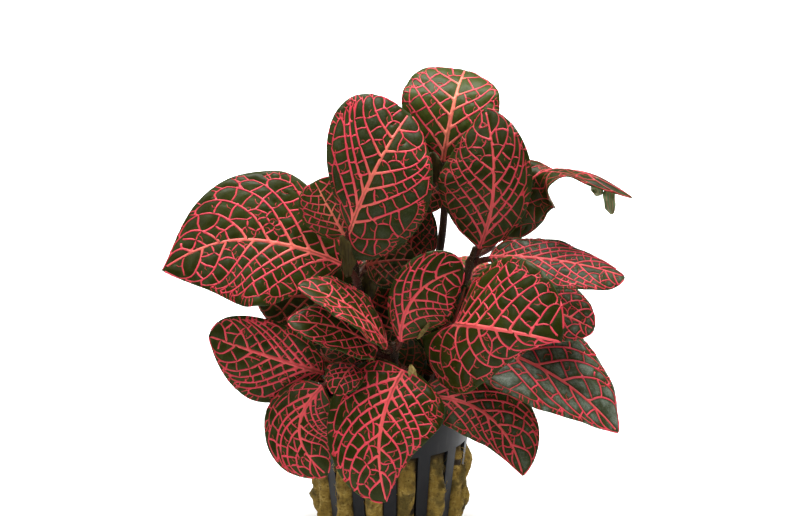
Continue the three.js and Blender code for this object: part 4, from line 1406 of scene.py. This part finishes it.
def build_pot():
    """The net pot: a tapered wall with slots, a plain band on top, a foot and a floor with drain slots."""
    size = sizes()
    wall, floor = size.pot_wall / MM, size.pot_floor / MM
    rows = []
    for radius in (FLOOR_RADII[0], *np.linspace(*DRAIN_RADII, DRAIN_RINGS), FLOOR_RADII[1]):
        rows.append((radius, 0, radius, floor, "floor"))
    for z in (*FOOT_HEIGHTS, *np.linspace(SLOT_FOOT, SLOT_TOP, SLOT_RINGS), *BAND_HEIGHTS, POT_HEIGHT):
        outer = pot_radius(z) - (FOOT_INSET if z == 0 else 0)
        rows.append((outer, z, pot_radius(z) - wall, max(z, floor), "wall"))
    angles = pot_angles()
    count = len(angles)
    points = []
    for angle in angles:
        for r_out, z_out, r_in, z_in, _ in rows:
            points.append(ring_point(r_out, angle, z_out))
            points.append(ring_point(r_in, angle, z_in))
    high = len(rows)
    ends = [*angles, angles[0] + TURN]

    def corner(i, j):
        """The number of the outer point at this angle and row; the inner one is the next."""
        return ((i % count) * high + j) * 2

    def is_open(i, j):
        """Whether a slot or a drain is there between two angles and two rows."""
        middle = (ends[i] + ends[i + 1]) / 2
        if rows[j][4] == "wall" and rows[j + 1][4] == "wall":
            height = (rows[j][1] + rows[j + 1][1]) / 2
            return SLOT_FOOT < height < SLOT_TOP and not in_sector(middle, SLATS, SLAT_ANGLE)
        radius = (rows[j][0] + rows[j + 1][0]) / 2
        return DRAIN_RADII[0] < radius < DRAIN_RADII[1] and in_sector(middle, DRAINS, DRAIN_ANGLE)

    open_cells = {(i, j) for i in range(count) for j in range(high - 1) if is_open(i, j)}
    faces = []
    for i in range(count):
        for j in range(high - 1):
            if (i, j) in open_cells:
                continue
            a, b, c, d = corner(i, j), corner(i + 1, j), corner(i + 1, j + 1), corner(i, j + 1)
            faces.append((a, b, c, d))
            faces.append((a + 1, d + 1, c + 1, b + 1))
            if ((i - 1) % count, j) in open_cells:
                faces.append((a, d, d + 1, a + 1))
            if ((i + 1) % count, j) in open_cells:
                faces.append((b, b + 1, c + 1, c))
            if (i, j - 1) in open_cells:
                faces.append((a, a + 1, b + 1, b))
            if (i, j + 1) in open_cells:
                faces.append((d, c, c + 1, d + 1))
        top_a, top_b = corner(i, high - 1), corner(i + 1, high - 1)
        faces.append((top_a, top_b, top_b + 1, top_a + 1))
    under = len(points)
    points += [(0, 0, 0), (0, 0, floor)]
    for i in range(count):
        faces.append((under, corner(i + 1, 0), corner(i, 0)))
        faces.append((under + 1, corner(i, 0) + 1, corner(i + 1, 0) + 1))
    piece = make_piece("pot", points, faces, [pot_plastic()], ["net_pot"])
    bevel = piece.modifiers.new("rounded edges", "BEVEL")
    bevel.width = size.pot_edge
    bevel.segments = 2
    bevel.limit_method = "ANGLE"
    bevel.angle_limit = math.radians(40)
    bevel.harden_normals = True
    return piece


def wool_swell(angle, z):
    """How far the rock wool swells past the pot's wall, from 0 to 1 in a slot, and None behind a slat."""
    slot = TURN / SLATS
    across = ((angle - SLAT_ANGLE / 2) % slot) / (slot - SLAT_ANGLE)
    if not SLOT_SIDE < across < 1 - SLOT_SIDE or not SLOT_FOOT + SLOT_END < z < SLOT_TOP - SLOT_END:
        return None
    side = math.sin(math.pi * (across - SLOT_SIDE) / (1 - 2 * SLOT_SIDE)) ** 0.5
    rise = min(1, (z - SLOT_FOOT - 0.5) / SWELL_RISE) ** 0.6
    fall = min(1, (SLOT_TOP - 0.5 - z) / SWELL_FALL) ** 0.7
    return side * rise * fall


def build_wool():
    """The rock wool: a lumpy, pitted plug that fills the pot and swells out between its slats."""
    size = sizes()
    swell = size.wool_swell / MM
    wall = size.pot_wall / MM
    around, rows, rings = 504, 110, 26
    points, painted_hollow_shade = [], []
    for j in range(rows + 1):
        z = WOOL_FOOT + (WOOL_TOP - WOOL_FOOT) * j / rows
        for i in range(around):
            angle = TURN * i / around
            inside = pot_radius(z) - wall - WOOL_GAP
            share = wool_swell(angle, z)
            spot = Vector(ring_point(inside, angle, z))
            lumps = noise.noise(spot * 0.15) + 0.5 * noise.noise(spot * 0.36 + Vector((3, 1, 5)))
            fine = noise.fractal(spot * 1.1 + Vector((7, 3, 1)), 0.7, 2.2, 3)
            pit = max(0.0, noise.noise(spot * 0.26 + Vector((2, 9, 4))) - 0.3) * 2.2
            if share is None:
                radius = inside - 0.25 * abs(fine) - 0.1
            else:
                out = swell * (0.85 + 0.6 * lumps) + 0.22 * fine - 1.6 * pit
                radius = inside + share * (wall + WOOL_GAP + out)
            points.append(ring_point(radius, angle, z))
            # Painted shade: more in a pit, behind a slat and where the wool draws back from a slot's edges
            painted_hollow_shade.append(min(1, pit * 1.6 + (0.7 if share is None else 0.8 * (1 - share) ** 2)))
    for ring in range(1, rings):
        share = 1 - ring / rings
        for i in range(around):
            radius = (pot_radius(WOOL_TOP) - wall - WOOL_GAP - 0.2) * share
            x, y, z = ring_point(radius, TURN * i / around, WOOL_TOP)
            dip = 0.5 + 0.5 * noise.fractal(Vector((x, y, z)) * 0.3, 0.8, 2.1, 4)
            points.append((x, y, z - 0.9 * dip))
            # Painted shade in the dips of the top
            painted_hollow_shade.append(0.55 * dip)
    faces = sleeve(0, rows + rings, around)
    faces += cap(len(points) - around, len(points), around)
    faces += cap(0, len(points) + 1, around, below=True)
    points += [(0, 0, WOOL_TOP - 0.5), (0, 0, WOOL_FOOT)]
    marks = {"painted_hollow_shade": [*painted_hollow_shade, 0.2, 0.5]}
    return make_piece("wool", points, faces, [wool_mat()], ["rock_wool"], marks)


def build_fibres():
    """Loose fibres that stand out of the rock wool between the slats."""
    rng = random.Random(FIBRE_SEED)
    size = sizes()
    slot = TURN / SLATS
    points, faces = [], []
    for _ in range(FIBRES):
        angle = slot * (rng.randrange(SLATS) + 0.5 + rng.uniform(-0.27, 0.27))
        z = rng.uniform(SLOT_FOOT + 3, SLOT_TOP - 2)
        swell = size.wool_swell / MM * rng.uniform(0.35, 0.75)
        radius = pot_radius(z) + swell * (wool_swell(angle, z) or 0)
        start = np.array(ring_point(radius, angle, z))
        out = unit(np.array(ring_point(1, angle, 0)))
        run = unit(np.array([rng.gauss(0, 1) for _ in range(3)]))
        run = unit(run - out * (run @ out) * 0.8)
        long = rng.uniform(1.5, 4)
        q = np.linspace(-0.5, 0.5, 6)[:, None]
        arc = start + run * q * long + out * (0.5 - 3.2 * q**2) * rng.uniform(0.4, 0.9)
        add_tube(points, faces, arc, np.full(len(q), rng.uniform(*FIBRE_RADII)), 4)
    marks = {"painted_hollow_shade": np.zeros(len(points))}
    return make_piece("wool_fibres", points, faces, [wool_mat()], ["rock_wool"], marks)


# Stage


def build_stage():
    """A pale floor that curves up behind the plant, soft lights and the camera."""
    stage = bpy.context.scene.nerve_plant_stage
    floor = Shader("stage_floor")
    material = floor.finish(Base_Color=(*colours().floor, 1), Roughness=0.8, Specular_IOR_Level=0.1)
    front, back, bend, high, half = -3, 1.5, 0.8, 4, 4
    profile = [(front, 0), (back, 0)]
    for angle in np.linspace(0.1, math.pi / 2, 12):
        profile.append((back + bend * math.sin(angle), bend - bend * math.cos(angle)))
    profile.append((back + bend, high))
    points = [(x, y, z) for y, z in profile for x in (-half, half)]
    faces = [(2 * i, 2 * i + 1, 2 * i + 3, 2 * i + 2) for i in range(len(profile) - 1)]
    mesh = bpy.data.meshes.new("floor")
    mesh.from_pydata(points, [], faces)
    mesh.materials.append(material)
    mesh.shade_smooth()
    sweep = add_object("floor", mesh)

    scene = bpy.context.scene
    scene.view_settings.view_transform = "Standard"
    scene.world = bpy.data.worlds.new("studio")
    scene.world.use_nodes = True
    sky = scene.world.node_tree.nodes["Background"]
    sky.inputs["Color"].default_value = (1, 1, 1, 1)
    sky.inputs["Strength"].default_value = stage.sky
    aim = Vector(stage.aim)
    behind = Vector((0, 0.62, 0))
    # Each light's place, what it points at, its width, its spread in degrees and its power
    lights = {
        "key": (Vector((-0.4, -0.55, 0.95)), aim, 0.5, 180, stage.key),
        "top": (Vector((0.36, 0.22, 0.9)), aim, 0.36, 180, stage.top),
        "backdrop": (Vector((0, 0.75, 1.5)), behind, 1.5, 70, stage.backdrop),
    }
    for name, (place, target, width, spread, power) in lights.items():
        light = bpy.data.lights.new(name, "AREA")
        light.size = width
        light.spread = math.radians(spread)
        light.energy = power
        lamp = add_object(name, light)
        lamp.location = place
        lamp.rotation_euler = (target - place).to_track_quat("-Z", "Y").to_euler()

    camera = add_object("camera", bpy.data.cameras.new("camera"))
    away = Vector((0, -math.cos(stage.elevation), math.sin(stage.elevation)))
    camera.location = aim + away * stage.distance
    camera.rotation_euler = (-away).to_track_quat("-Z", "Y").to_euler()
    camera.data.lens = stage.lens
    camera.data.sensor_width = 36
    scene.camera = camera


# Operators and panel


class NERVE_PLANT_OT_stage(bpy.types.Operator):
    """Set up the floor, the lights and the camera"""

    bl_idname = "nerve_plant.stage"
    bl_label = "Set the stage"

    def execute(self, context):
        build_stage()
        return {"FINISHED"}


class NERVE_PLANT_OT_pot(bpy.types.Operator):
    """Build the slatted net pot"""

    bl_idname = "nerve_plant.pot"
    bl_label = "Build the pot"

    def execute(self, context):
        build_pot()
        return {"FINISHED"}


class NERVE_PLANT_OT_wool(bpy.types.Operator):
    """Fill the pot with rock wool and its loose fibres"""

    bl_idname = "nerve_plant.wool"
    bl_label = "Fill in rock wool"

    def execute(self, context):
        build_wool()
        build_fibres()
        return {"FINISHED"}


class NERVE_PLANT_OT_stems(bpy.types.Operator):
    """Grow the stems, the leaf stalks, their hairs and the bracts"""

    bl_idname = "nerve_plant.stems"
    bl_label = "Grow stems"

    def execute(self, context):
        for shoot in STEMS:
            grow_stem(shoot)
            grow_hairs(shoot)
        for name in SCALES:
            grow_scale(name)
        return {"FINISHED"}


class NERVE_PLANT_OT_blades(bpy.types.Operator):
    """Grow the leaf blades, swollen between their veins"""

    bl_idname = "nerve_plant.blades"
    bl_label = "Grow leaf blades"

    def execute(self, context):
        for name in LEAVES:
            grow_blade(name)
        return {"FINISHED"}


class NERVE_PLANT_OT_veins(bpy.types.Operator):
    """Grow the pink net of veins on each blade"""

    bl_idname = "nerve_plant.veins"
    bl_label = "Grow veins"

    def execute(self, context):
        for name in LEAVES:
            grow_veins(name)
        return {"FINISHED"}


STEPS = (
    NERVE_PLANT_OT_stage,
    NERVE_PLANT_OT_pot,
    NERVE_PLANT_OT_wool,
    NERVE_PLANT_OT_stems,
    NERVE_PLANT_OT_blades,
    NERVE_PLANT_OT_veins,
)
GROUPS = {
    "nerve_plant_sizes": NervePlantSizes,
    "nerve_plant_colours": NervePlantColours,
    "nerve_plant_stage": NervePlantStage,
}


class NERVE_PLANT_PT_panel(bpy.types.Panel):
    """The plant's steps and settings"""

    bl_label = "Nerve plant"
    bl_idname = "NERVE_PLANT_PT_panel"
    bl_space_type = "VIEW_3D"
    bl_region_type = "UI"
    bl_category = "Nerve plant"

    def draw(self, context):
        for step in STEPS:
            self.layout.operator(step.bl_idname)
        for name, group in GROUPS.items():
            box = self.layout.box()
            for key in group.__annotations__:
                box.prop(getattr(context.scene, name), key)


def register():
    for kind in (*GROUPS.values(), *STEPS, NERVE_PLANT_PT_panel):
        bpy.utils.register_class(kind)
    for name, group in GROUPS.items():
        setattr(bpy.types.Scene, name, bpy.props.PointerProperty(type=group))


def unregister():
    for name in GROUPS:
        delattr(bpy.types.Scene, name)
    for kind in reversed((*GROUPS.values(), *STEPS, NERVE_PLANT_PT_panel)):
        bpy.utils.unregister_class(kind)


def main():
    register()
    bpy.ops.nerve_plant.stage()
    bpy.ops.nerve_plant.pot()
    bpy.ops.nerve_plant.wool()
    bpy.ops.nerve_plant.stems()
    bpy.ops.nerve_plant.blades()
    bpy.ops.nerve_plant.veins()


if __name__ == "__main__":
    main()
